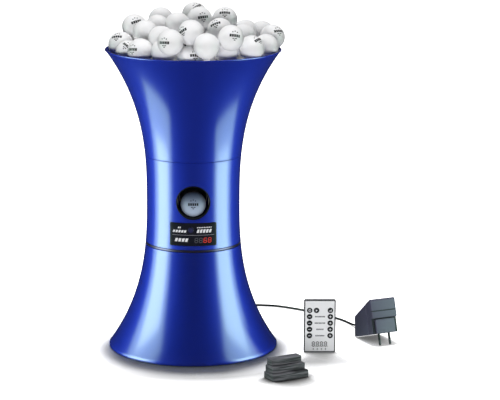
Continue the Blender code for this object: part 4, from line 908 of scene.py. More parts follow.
@dataclass(frozen=True)
class Hourglass:
    """The one curve that the three shells, the ring and the window follow."""

    rim_height: float = 0.484
    rim_radius: float = 0.140
    waist_height: float = 0.242
    waist_radius: float = 0.0746
    foot_radius: float = 0.139
    upper_power: float = 2.66
    lower_power: float = 2.7
    wall: float = 0.0025

    def radius(self, height: float) -> float:
        """The outer radius at a height.

        Args:
            height: The height.

        Returns:
            The radius there.
        """
        if height >= self.waist_height:
            share = (height - self.waist_height) / (self.rim_height - self.waist_height)
            return self.waist_radius + (self.rim_radius - self.waist_radius) * share ** self.upper_power
        share = (self.waist_height - height) / self.waist_height
        return self.waist_radius + (self.foot_radius - self.waist_radius) * share ** self.lower_power

    def slope(self, height: float) -> float:
        """How fast the outer radius grows with height."""
        step = 0.0005
        return (self.radius(height + step) - self.radius(height - step)) / (2.0 * step)

    def inner(self, height: float) -> float:
        """Inner radius, with the wall measured square to it."""
        return self.radius(height) - self.wall * math.hypot(1.0, self.slope(height))

    def outside(self, start_height: float, end_height: float, count: int) -> list[Pair]:
        """Points on the outer wall.

        Args:
            start_height: The first height.
            end_height: The last height.
            count: How many points.

        Returns:
            (radius, height) points.
        """
        return [(self.radius(z), z) for z in np.linspace(start_height, end_height, count)]

    def inside(self, start_height: float, end_height: float, count: int) -> list[Pair]:
        """Points on the inner wall, as outside gives them for the outer one."""
        return [(self.inner(z), z) for z in np.linspace(start_height, end_height, count)]

    def front(self, x: float, z: float, proud: float = 0.0) -> float:
        """The Y of the shell's front at a place.

        Args:
            x: Across.
            z: Height.
            proud: How far outside the wall.

        Returns:
            The Y, which is negative.
        """
        reach = self.radius(z) + proud
        return -math.sqrt(max(reach * reach - x * x, 0.0))


GLASS = Hourglass()


def shell_plate(name: str, outline: Outline, proud: float, thickness: float, strip: float = 0.003) -> Piece:
    """A thin plate that hugs the front of the hourglass.

    Args:
        name: The name of the new piece.
        outline: Its (x, z) points in order.
        proud: How far its face stands outside the shell.
        thickness: Its thickness inwards.
        strip: The widest strip between two bends.

    Returns:
        The closed plate.
    """
    piece = flat_form(name, outline)
    for axis in (0, 1):
        low = min(point[axis] for point in outline)
        high = max(point[axis] for point in outline)
        cuts = int((high - low) / strip)
        for cut in range(1, cuts + 1):
            bpy.ops.mesh.select_all(action="SELECT")
            place = low + (high - low) * cut / (cuts + 1)
            across = (1.0, 0.0, 0.0) if axis == 0 else (0.0, 0.0, 1.0)
            bpy.ops.mesh.bisect(plane_co=[place * part for part in across], plane_no=across)
    thicken((0.0, thickness, 0.0))
    for vertex in piece.data.vertices:
        x, depth, z = vertex.co
        vertex.co.y = GLASS.front(x, z, proud) + depth
    return piece


@dataclass
class Shells(SubAssembly):
    """Base skirt, waisted body and hopper funnel, with their seams, holes and rounded lips."""

    steps: int = 160
    seam: float = 0.3138
    swivel_height: float = 0.1716
    ring_height: float = 0.0036
    ring_width: float = 0.0130
    ring_round: float = 0.0007
    top_thickness: float = 0.0025
    floor_clearance: float = 0.0008
    seam_round: float = 0.0005
    wall_start: float = 0.0010
    foot_round: float = 0.0030
    foot_squash: float = 0.55
    foot_inner_round: float = 0.0012
    lip_squash: float = 1.35
    lip_start: float = -0.35
    outlet_height: float = 0.2494
    outlet_radius: float = 0.0270
    window_size: Pair = (0.0728, 0.0366)
    window_height: float = 0.1988
    window_corner: float = 0.0020
    window_cut: Pair = (-0.110, -0.030)
    jack_height: float = 0.0180
    jack_radius: float = 0.0075

    def lip(self, height: float, up: float) -> list[Pair]:
        """A softened outer corner at a seam, from the wall to the seam's face.

        Args:
            height: The seam's height.
            up: 1 where the shell goes on above the corner, or -1 below.

        Returns:
            The corner's points.
        """
        return soft_corner(GLASS.radius(height), height, 1.0, up, self.seam_round)[::-1]

    def build(self) -> None:
        """Model and dress the three shells and the slip ring."""
        self.build_base()
        self.build_body()
        self.build_hopper()
        self.build_ring()

    def build_base(self) -> None:
        """The skirt: rounded foot edge, turned-in top, inlet hole at the back."""
        top = self.swivel_height - self.ring_height / 2.0 - FIT_GAP
        low = self.floor_clearance
        foot = GLASS.radius(low + self.foot_round)
        bore = GLASS.radius(top) - self.ring_width
        outline = GLASS.outside(low + self.foot_round, top - self.seam_round, 48)
        outline += self.lip(top, -1.0)[1:] + [(bore, top), (bore, top - self.top_thickness)]
        outline += GLASS.inside(top - self.top_thickness, low + self.foot_round, 28)
        soft = self.foot_inner_round
        for step in range(1, 6):
            angle = QUARTER_TURN * step / 5.0
            outline.append((foot - soft - soft * math.cos(angle), low + soft - soft * math.sin(angle)))
        for step in range(1, 6):
            angle = QUARTER_TURN * step / 6.0
            outline.append((foot - self.foot_round * (1.0 - math.sin(angle)) * self.foot_squash,
                            low + self.foot_round * (1.0 - math.cos(angle))))
        shell = lathe("base_skirt", outline, self.steps)
        back = (0.0, GLASS.radius(self.jack_height), self.jack_height)
        combine(shell, rod("inlet_hole", self.jack_radius, 0.04, back))
        smooth(shell, 40.0)
        # The skirt gets the darker copy of the lacquer, which is painted shade.
        dress(shell, self.finishes.base_blue_with_painted_shade, "metallic_blue", "base", "base_shell")

    def build_body(self) -> None:
        """The waisted body with the ball outlet and the display window cut through."""
        low = self.swivel_height + self.ring_height / 2.0 + FIT_GAP
        high = self.seam - FIT_GAP / 2.0
        outline = self.lip(low, 1.0)[::-1] + GLASS.outside(low + self.wall_start, high - self.wall_start, 60)
        outline += self.lip(high, -1.0) + GLASS.inside(high, low, 30)
        shell = lathe("body_skin", outline, self.steps)
        front = (0.0, WAIST_FRONT, self.outlet_height)
        combine(shell, rod("outlet_hole", self.outlet_radius + FIT_GAP, 0.08, front, 96))
        wide, tall = self.window_size
        outline = rounded_rectangle(wide + 2.0 * FIT_GAP, tall + 2.0 * FIT_GAP, self.window_corner, 6,
                                    (0.0, self.window_height))
        combine(shell, prism("window_hole", outline, *self.window_cut))
        smooth(shell, 40.0)
        dress(shell, self.finishes.blue, "metallic_blue", "body", "body_shell")

    def build_hopper(self) -> None:
        """The funnel: thin wall and a round lip at the rim."""
        low = self.seam + FIT_GAP / 2.0
        rim = GLASS.rim_height
        lip = GLASS.wall / 2.0
        wide = lip * self.lip_squash
        centre = (GLASS.radius(rim) - wide, rim - lip)
        outline = self.lip(low, 1.0)[::-1] + GLASS.outside(low + self.wall_start, rim - lip * 1.6, 60)
        for step in range(9):
            angle = self.lip_start + (math.pi - self.lip_start) * step / 8.0
            outline.append((centre[0] + wide * math.cos(angle), centre[1] + lip * math.sin(angle)))
        outline += GLASS.inside(rim - lip * 2.2, low, 40)
        shell = lathe("hopper_funnel", outline, self.steps)
        smooth(shell, 40.0)
        dress(shell, self.finishes.blue, "metallic_blue", "hopper", "hopper_shell")

    def build_ring(self) -> None:
        """The black slip ring that shows between base and body."""
        low = self.swivel_height - self.ring_height / 2.0
        high = self.swivel_height + self.ring_height / 2.0
        outer = GLASS.radius(self.swivel_height)
        outline = [(outer - self.ring_width, low)] + soft_corner(outer, low, 1.0, 1.0, self.ring_round)
        outline += soft_corner(outer, high, 1.0, -1.0, self.ring_round)[::-1]
        ring = lathe("slip_ring", outline + [(outer - self.ring_width, high)], self.steps)
        smooth(ring, 50.0)
        dress(ring, self.finishes.ring_black, "black_plastic", "base", "turntable_ring")


@dataclass
class ThrowingHead(SubAssembly):
    """What shows through the outlet: muzzle ring and gum tyres on their hubs."""

    height: float = 0.2494
    ring_radius: float = 0.0270
    ring_wall: float = 0.0016
    ring_back: float = 0.0503
    ring_front: float = 0.0770
    ring_proud: float = 0.0004
    ring_round: float = 0.0005
    wheel_setback: float = 0.0300
    wheel_offset: float = 0.0388
    tread_radius: float = 0.0185
    edge_radius: float = 0.0210
    tyre_inset: float = 0.0004
    tyre_shoulder: float = 0.0015
    wheel_width: float = 0.0260
    hub_radius: float = 0.0135
    hub_rim: float = 0.0030
    hub_recess: float = 0.0030
    boss_radius: float = 0.0050
    boss_ends: Pair = (0.0040, 0.0010)
    shaft_radius: float = 0.0016
    shaft_end: float = 0.0320

    def build(self) -> None:
        """Model and dress the ring and the wheels."""
        self.build_ring()
        for name, side in (("top", 1.0), ("bottom", -1.0)):
            self.build_wheel(name, self.height + side * self.wheel_offset)

    def build_ring(self) -> None:
        """The muzzle ring, whose rounded front follows the shell."""
        inner, outer = self.ring_radius - self.ring_wall, self.ring_radius
        soft, front = self.ring_round, self.ring_front
        outline = [(inner, self.ring_back), (outer, self.ring_back)]
        outline += [(outer, y) for y in np.linspace(self.ring_back + 0.004, front - soft, 6)]
        outline += soft_corner(outer, front, 1.0, -1.0, soft)[1::-1]
        outline += soft_corner(inner, front, -1.0, -1.0, soft)
        ring = lathe("muzzle_ring", outline, 96, Axis.FRONT, (0.0, 0.0, self.height))
        for vertex in ring.data.vertices:
            share = (-vertex.co.y - self.ring_back) / (front - self.ring_back)
            wall = -GLASS.front(vertex.co.x, vertex.co.z, self.ring_proud)
            vertex.co.y -= share * (wall - front)
        smooth(ring, 45.0)
        dress(ring, self.finishes.muzzle, "black_plastic", "body", "outlet_ring")

    def build_wheel(self, name: str, height: float) -> None:
        """A hub and its hollowed gum tyre.

        Args:
            name: top or bottom.
            height: The axle's height.
        """
        half = self.wheel_width / 2.0
        place = (0.0, -self.wheel_setback, height)
        edge = half - self.tyre_inset
        across = np.linspace(-edge + self.tyre_shoulder, edge - self.tyre_shoulder, 13)
        rise = self.edge_radius - self.tread_radius
        side = [(self.hub_radius + FIT_GAP, edge), (self.edge_radius - 0.0012, edge),
                (self.edge_radius - 0.0004, edge - 0.0006)]
        outline = [(radius, -x) for radius, x in side]
        outline += [(self.tread_radius + rise * (x / across[-1]) ** 2, x) for x in across] + side[::-1]
        tyre = lathe(f"{name}_gum_tyre", outline, 72, Axis.RIGHT, place)
        smooth(tyre, 50.0)
        dress(tyre, self.finishes.tan, "tan_rubber", f"{name}_wheel_body", f"{name}_tyre")
        rim, boss, bed = self.hub_radius - self.hub_rim, self.boss_radius, half - self.hub_recess
        near, far = half + self.boss_ends[0], half + self.boss_ends[1]
        outline = [(0.0, -self.shaft_end), (self.shaft_radius, -self.shaft_end), (self.shaft_radius, -near),
                   (boss, -near), (boss, -bed), (rim, -bed), (rim, -half), (self.hub_radius, -half),
                   (self.hub_radius, half), (rim, half), (rim, bed), (boss, bed), (boss, far), (0.0, far)]
        hub = lathe(f"{name}_hub", outline, 48, Axis.RIGHT, place)
        smooth(hub, 40.0)
        dress(hub, self.finishes.grey, "grey_plastic", f"{name}_wheel_body", f"{name}_wheel")


LIT_BARS = {"6": "afgedc", "8": "abcdefg"}


def digit_outlines(centre: Pair, size: Pair, stroke: float, slant: float = 0.0) -> dict[str, list[Pair]]:
    """The seven bars of a display digit.

    Args:
        centre: The digit's middle.
        size: Its width and height.
        stroke: The thickness of a bar.
        slant: How far the top leans right for each unit of height.

    Returns:
        Each bar's outline by its letter, a at the top and g in the middle.
    """
    half_w, half_h = (size[0] - stroke) / 2.0, (size[1] - stroke) / 2.0
    nodes = {"tl": (-half_w, half_h), "tr": (half_w, half_h), "ml": (-half_w, 0.0), "mr": (half_w, 0.0),
             "bl": (-half_w, -half_h), "br": (half_w, -half_h)}
    ends = {"a": ("tl", "tr"), "b": ("tr", "mr"), "c": ("mr", "br"), "d": ("bl", "br"), "e": ("ml", "bl"),
            "f": ("tl", "ml"), "g": ("ml", "mr")}
    free = 0.18
    bars = {}
    for letter, (first, last) in ends.items():
        a, b = Vector(nodes[first]), Vector(nodes[last])
        along = (b - a).normalized()
        side = Vector((-along.y, along.x)) * stroke / 2.0
        a, b = a + along * stroke * free, b - along * stroke * free
        points = [a, a + along * stroke / 2.0 + side, b - along * stroke / 2.0 + side, b,
                  b - along * stroke / 2.0 - side, a + along * stroke / 2.0 - side]
        bars[letter] = [(centre[0] + p.x + p.y * slant, centre[1] + p.y) for p in points]
    return bars


@dataclass(frozen=True)
class PrintRow:
    """A row of generic bars that stands where the window has print."""

    left: float
    right: float
    bars: int
    middle: float
    tall: float


@dataclass
class Display(SubAssembly):
    """The smoked window with its lens, rule, generic bars and four display digits."""

    size: Pair = (0.0728, 0.0366)
    centre: Pair = (0.0, 0.1988)
    corner: float = 0.0020
    proud: float = 0.0002
    thickness: float = 0.0028
    lens_radius: float = 0.0043
    lens_proud: float = 0.0003
    lens_place: Pair = (-0.0040, 0.2060)
    rule_height: float = 0.1978
    rule_size: Pair = (0.0660, 0.0005)
    print_lift: float = 0.0001
    print_rows: tuple[PrintRow, ...] = (
        PrintRow(-0.0240, -0.0190, 2, 0.2098, 0.0024), PrintRow(-0.0320, -0.0100, 5, 0.2038, 0.0038),
        PrintRow(0.0060, 0.0300, 9, 0.2100, 0.0015), PrintRow(0.0060, 0.0300, 5, 0.2043, 0.0054),
        PrintRow(-0.0285, -0.0070, 4, 0.1900, 0.0054))
    print_share: float = 0.72
    print_lean: float = 0.15
    digit_size: Pair = (0.0053, 0.0080)
    digit_stroke: float = 0.0009
    digit_slant: float = 0.08
    digit_height: float = 0.1895
    digit_places: tuple[float, ...] = (0.0050, 0.0120, 0.0190, 0.0260)
    digits: tuple[str, ...] = ("", "", "6", "8")

    def build(self) -> None:
        """Model and dress the window and everything on it."""
        panel = shell_plate("smoked_window", rounded_rectangle(*self.size, self.corner, 6, self.centre),
                            self.proud, self.thickness)
        x, z = self.lens_place
        combine(panel, rod("lens_hole", self.lens_radius + 0.0002, 0.05, (x, WAIST_FRONT, z)))
        soften_edges(panel, 0.0003, 2, 50.0)
        smooth(panel, 30.0)
        dress(panel, self.finishes.window, "smoked_window", "body", "display_panel")
        lens = shell_plate("infrared_window", round_outline(self.lens_radius, 40, self.lens_place),
                           self.proud + self.lens_proud, self.thickness)
        soften_edges(lens, 0.0004, 3, 50.0)
        smooth(lens, 30.0)
        dress(lens, self.finishes.lens, "sensor_lens", "body", "sensor_lens")
        self.build_prints()
        self.build_digits()

    def plate(self, name: str, outline: Outline) -> Piece:
        """A print or segment, a hair above the window's face."""
        return shell_plate(name, outline, self.proud + self.print_lift, self.print_lift * 1.6, 0.004)

    def build_prints(self) -> None:
        """The rule and the generic white bars."""
        half, thin = self.rule_size[0] / 2.0, self.rule_size[1] / 2.0
        rule = self.plate("window_rule", block_outline(
            -half, half, self.rule_height - thin, self.rule_height + thin))
        dress(rule, self.finishes.grey_ink, "smoked_window", "body")
        bars = []
        for row in self.print_rows:
            pitch = (row.right - row.left) / row.bars
            for place in range(row.bars):
                left = row.left + pitch * place
                bars.append(self.plate("bar", block_outline(
                    left, left + pitch * self.print_share, row.middle - row.tall / 2.0,
                    row.middle + row.tall / 2.0, row.tall * self.print_lean)))
        dress(join("window_marks", bars), self.finishes.white_ink, "smoked_window", "body")

    def build_digits(self) -> None:
        """Two unlit and two lit digits."""
        dim, lit = [], []
        for x, shown in zip(self.digit_places, self.digits):
            bars = digit_outlines((x, self.digit_height), self.digit_size, self.digit_stroke,
                                  self.digit_slant)
            for letter, outline in bars.items():
                glows = letter in LIT_BARS.get(shown, "")
                (lit if glows else dim).append(self.plate("segment", outline))
        dress(join("unlit_segments", dim), self.finishes.dim_segment, "smoked_window", "body")
        dress(join("lit_segments", lit), self.finishes.lit_segment, "smoked_window", "body")


class SeenBall(Enum):
    """The middle of each ball that shows, read off the photograph's 500 x 400 pixels."""

    RIM_FAR_LEFT = (122.5, 47.0)
    RIM_LEFT = (129.0, 54.0)
    RIM_LEFT_INNER = (142.5, 54.0)
    RIM_MIDDLE_LEFT = (165.0, 53.5)
    RIM_MIDDLE_RIGHT = (229.5, 55.0)
    RIM_RIGHT = (251.0, 51.5)
    RIM_FAR_RIGHT = (264.0, 47.0)
    MIDDLE_LEFT_BACK = (162.0, 40.5)
    MIDDLE_LEFT = (169.0, 44.0)
    MIDDLE_CENTRE = (206.0, 46.5)
    MIDDLE_RIGHT = (231.0, 42.0)
    MIDDLE_RIGHT_BACK = (245.0, 38.0)
    MIDDLE_FAR_RIGHT = (260.0, 36.0)
    MIDDLE_LAST_RIGHT = (270.0, 39.0)
    UPPER_FAR_LEFT = (134.5, 29.0)
    UPPER_LEFT = (146.0, 33.0)
    UPPER_LEFT_BACK = (157.0, 27.6)
    UPPER_CENTRE_LEFT = (178.0, 26.0)
    UPPER_CENTRE = (192.0, 35.0)
    UPPER_CENTRE_RIGHT = (219.5, 31.5)
    UPPER_RIGHT = (244.0, 32.5)
    CREST_LEFT = (161.0, 19.4)
    CREST_MIDDLE = (194.5, 15.0)
    CREST_FRONT = (200.0, 21.0)
    CREST_RIGHT = (224.0, 20.0)


@dataclass
class Balls(SubAssembly):
    """The heaped load, ball by ball, and the ball that waits in the outlet."""

    diameter: float = 0.040
    count: int = 100
    seed: int = 3
    lean: float = 7.2
    rotor_top: float = 0.32945
    outlet_place: Triple = (0.0, -0.0560, 0.2443)
    outlet_tilt: float = 0.16
    funnel_sides: int = 36
    pour_radius: float = 0.055
    pour_lift: float = 0.03
    pour_pitch: float = 0.0024
    settle_rounds: int = 700
    settle_fall: float = 0.0016
    settle_shake: float = 0.0009
    lift_rounds: int = 900
    lift_step: float = 0.00015
    lift_overlap: float = 0.0004
    dome_height: float = 0.537
    dome_drop: float = 0.051
    dome_radius: float = 0.119
    dome_power: float = 2.6
    cover: float = 0.026
    stamped_share: float = 0.62
    stamp_pitch: Pair = (42.0, 88.0)
    stamp_turn: float = 50.0
    stamp_roll: float = 22.0
    stamp_lift: float = 0.00006
    stamp_thickness: float = 0.0001
    depth_steps: int = 241
    relax_rounds: int = 600
    relax_pull: float = 0.35
    part_rounds: int = 400
    part_strength: float = 0.45
    heap_rounds: int = 500
    heap_pull: float = 0.4
    by_hand: tuple[Triple, ...] = (
        (-0.003, -0.117, 0.484), (-0.008, -0.078, 0.496), (0.085, 0.075, 0.500), (-0.010, 0.100, 0.500),
        (0.045, 0.090, 0.505), (-0.080, 0.080, 0.495))

    def keep_in_funnel(self, places: np.ndarray) -> None:
        """Push ball centres off the rotor, the funnel's wall and the edge of its rim.

        Args:
            places: The centres, changed in place.
        """
        reach = self.diameter / 2.0
        places[:, 2] = np.maximum(places[:, 2], self.rotor_top + reach + FIT_GAP)
        across = np.hypot(places[:, 0], places[:, 1]) + 1e-9
        low = np.minimum(places[:, 2], GLASS.rim_height)
        tall = GLASS.rim_height - GLASS.waist_height
        share = np.clip((low - GLASS.waist_height) / tall, 0.0, 1.0)
        grow = GLASS.rim_radius - GLASS.waist_radius
        radius = GLASS.waist_radius + grow * share ** GLASS.upper_power
        slope = grow * GLASS.upper_power * share ** (GLASS.upper_power - 1.0) / tall
        spare = radius - (GLASS.wall + reach + FIT_GAP) * np.hypot(1.0, slope)
        over = np.clip(places[:, 2] - GLASS.rim_height, 0.0, reach)
        room = np.sqrt(np.maximum((reach + FIT_GAP) ** 2 - over ** 2, 0.0))
        past_rim = GLASS.rim_radius - GLASS.wall - room
        spare = np.where(places[:, 2] > GLASS.rim_height, np.maximum(spare, past_rim), spare)
        spare *= math.cos(math.pi / self.funnel_sides)
        places[:, :2] *= np.where(across > spare, spare / across, 1.0)[:, None]

    def separate(self, places: np.ndarray, strength: float, rounds: int = 1) -> None:
        """Push overlapping balls apart.

        Args:
            places: The centres, changed in place.
            strength: The share of each overlap that is undone.
            rounds: How often.
        """
        apart = self.diameter + FIT_GAP
        first, second = np.triu_indices(len(places), 1)
        for _ in range(rounds):
            offset = places[first] - places[second]
            distance = np.linalg.norm(offset, axis=1) + 1e-9
            near = distance < apart
            shove = offset[near] * (strength * (apart - distance[near]) / distance[near])[:, None]
            np.add.at(places, first[near], shove)
            np.add.at(places, second[near], -shove)
            self.keep_in_funnel(places)

    def settle(self) -> np.ndarray:
        """Drop the balls into the funnel until they lie still.

        Returns:
            Their centres.
        """
        rng = np.random.default_rng(self.seed)
        angle = rng.uniform(0.0, FULL_TURN, self.count)
        out = np.sqrt(rng.uniform(0.0, 1.0, self.count)) * self.pour_radius
        rise = self.rotor_top + self.pour_lift + np.arange(self.count) * self.pour_pitch
        places = np.stack([out * np.cos(angle), out * np.sin(angle), rise], axis=1)
        for turn in range(self.settle_rounds):
            left = 1.0 - turn / self.settle_rounds
            fall = self.settle_fall * left ** 1.5
            places[:, 2] -= fall
            places[:, :2] -= fall * self.lean * places[:, :2]
            places += rng.normal(0.0, self.settle_shake * left ** 2, places.shape)
            self.separate(places, strength=0.5, rounds=4)
        first, second = np.triu_indices(self.count, 1)
        for _ in range(self.lift_rounds):
            distance = np.linalg.norm(places[first] - places[second], axis=1)
            tight = distance < self.diameter + FIT_GAP - self.lift_overlap
            upper = np.where(places[first[tight], 2] > places[second[tight], 2], first[tight], second[tight])
            places[upper, 2] += self.lift_step
            self.separate(places, strength=0.35)
        self.separate(places, strength=0.3, rounds=300)
        return places

    def dome(self, out: np.ndarray) -> np.ndarray:
        """Give the height of the heap's ball centres.

        Args:
            out: The distances from the axis.

        Returns:
            The heights there.
        """
        return self.dome_height - self.dome_drop * (out / self.dome_radius) ** self.dome_power

    def lay_seen(self) -> np.ndarray:
        """Lay each ball on the sight line of its middle, where the line meets the dome.

        Balls that overlap then push each other along their lines, round the few that are listed.

        Returns:
            The centres of the balls that show.
        """
        eye, towards = PhotoCamera().sight_lines([ball.value for ball in SeenBall])
        depth = np.linspace(-self.dome_radius, self.dome_radius, self.depth_steps)
        reach = (depth[None, :] - eye[1]) / towards[:, 1:2]
        along = eye + reach[:, :, None] * towards[:, None, :]
        over = along[:, :, 2] - self.dome(np.hypot(along[:, :, 0], along[:, :, 1]))
        nearest = np.argmin(np.abs(over), axis=1)
        meets = np.where((over <= 0.0).any(axis=1), np.argmax(over <= 0.0, axis=1), nearest)
        seen = along[np.arange(len(along)), meets]
        by_hand = np.array(self.by_hand)
        places = np.concatenate([seen, by_hand])
        for _ in range(self.relax_rounds):
            self.separate(places, strength=0.40)
            offset = places[:len(seen)] - seen
            across = offset - np.sum(offset * towards, axis=1)[:, None] * towards
            places[:len(seen)] -= self.relax_pull * across
            places[len(seen):] += self.relax_pull * (by_hand - places[len(seen):])
        self.separate(places, self.part_strength, self.part_rounds)
        return places

    def lay_shown(self, settled: np.ndarray) -> np.ndarray:
        """Put the balls that show on top of those that lie well under the dome.

        Args:
            settled: The centres of the settled balls.

        Returns:
            The centres of the whole heap, those that show first.
        """
        shown = self.lay_seen()
        deep = settled[:, 2] < self.dome(np.hypot(settled[:, 0], settled[:, 1])) - self.cover
        places = np.concatenate([shown, settled[deep]])
        for _ in range(self.heap_rounds):
            places[:len(shown)] += self.heap_pull * (shown - places[:len(shown)])
            self.separate(places, strength=0.35)
        self.separate(places, self.part_strength, self.part_rounds)
        first, second = np.triu_indices(len(places), 1)
        least = np.linalg.norm(places[first] - places[second], axis=1).min()
        LOG.info("heap of %d balls, least distance between middles %.2f mm", len(places), least * 1000.0)
        return places

    def make_ball(self) -> Piece:
        """Model one ball about the origin.

        Returns:
            The ball.
        """
        ball = start(Primitive.ROUND_BALL, "ball_pattern", subdivisions=4, radius=self.diameter / 2.0)
        smooth(ball, 80.0)
        return ball

    def tumble(self, rng: np.random.Generator) -> Matrix:
        """A turn that leaves a ball's stamp on the side towards the camera.

        Args:
            rng: The source of chance.

        Returns:
            The turn.
        """
        pitch = Matrix.Rotation(math.radians(rng.uniform(*self.stamp_pitch)), 4, "X")
        turn = Matrix.Rotation(math.radians(rng.uniform(-self.stamp_turn, self.stamp_turn)), 4, "Z")
        return turn @ pitch @ Matrix.Rotation(math.radians(rng.normal(0.0, self.stamp_roll)), 4, "Z")

    def make_stamp(self) -> Piece:
        """Model the generic stamp of a ball: three small squares over a broken bar.

        Returns:
            The stamp, lying on a ball's +Z pole.
        """
        parts = []
        marks = [(x, y, 0.0016, 0.0016) for x, y in ((-0.0036, 0.0056), (0.0, 0.0070), (0.0036, 0.0056))]
        marks += [(x, 0.0, 0.0027, 0.0042) for x in (-0.0068, -0.0034, 0.0, 0.0034, 0.0068)]
        marks += [(x, -0.0045, 0.0032, 0.0012) for x in (-0.0020, 0.0020)]
        marks += [(0.0, -0.0068, 0.0026, 0.0012)]
        for x, y, wide, deep in marks:
            mark = start(Primitive.PLANE, "stamp_mark", size=1.0, location=(x, y, 0.0))
            mark.scale = (wide, deep, 1.0)
            freeze(mark)
            edit(mark)
            bpy.ops.mesh.subdivide(number_cuts=1)
            thicken((0.0, 0.0, -self.stamp_thickness))
            parts.append(mark)
        stamp = join("stamp_pattern", parts)
        reach = self.diameter / 2.0 + self.stamp_lift
        for vertex in stamp.data.vertices:
            x, y, z = vertex.co
            vertex.co.z = math.sqrt(reach * reach - x * x - y * y) + z
        return stamp

    def build(self) -> None:
        """Place and dress every ball and stamp."""
        ball, stamp = self.make_ball(), self.make_stamp()
        rng = np.random.default_rng(self.seed)
        places = [Vector(place) for place in self.lay_shown(self.settle())]
        balls, stamps = [], []
        for number, place in enumerate(places):
            matrix = Matrix.Translation(place) @ self.tumble(rng)
            balls.append(copy_of(ball, "ball", matrix))
            if number < len(SeenBall) + len(self.by_hand) and rng.uniform() < self.stamped_share:
                stamps.append(copy_of(stamp, "stamp", matrix))
        finishes = self.finishes
        dress(join("heaped_balls", balls), finishes.ball, "ball_white", "hopper", "ball_load")
        dress(join("ball_stamps", stamps), finishes.stamp, "ball_white", "hopper")
        tilt = Matrix.Rotation(QUARTER_TURN - self.outlet_tilt, 4, "X")
        matrix = Matrix.Translation(Vector(self.outlet_place)) @ tilt
        dress(copy_of(ball, "waiting_ball", matrix), finishes.shaded_ball, "ball_white", "body",
              "outlet_ball")
        dress(copy_of(stamp, "waiting_ball_stamp", matrix), finishes.stamp, "ball_white", "body")
        for pattern in (ball, stamp):
            bpy.data.objects.remove(pattern, do_unlink=True)


# Cord and adapter


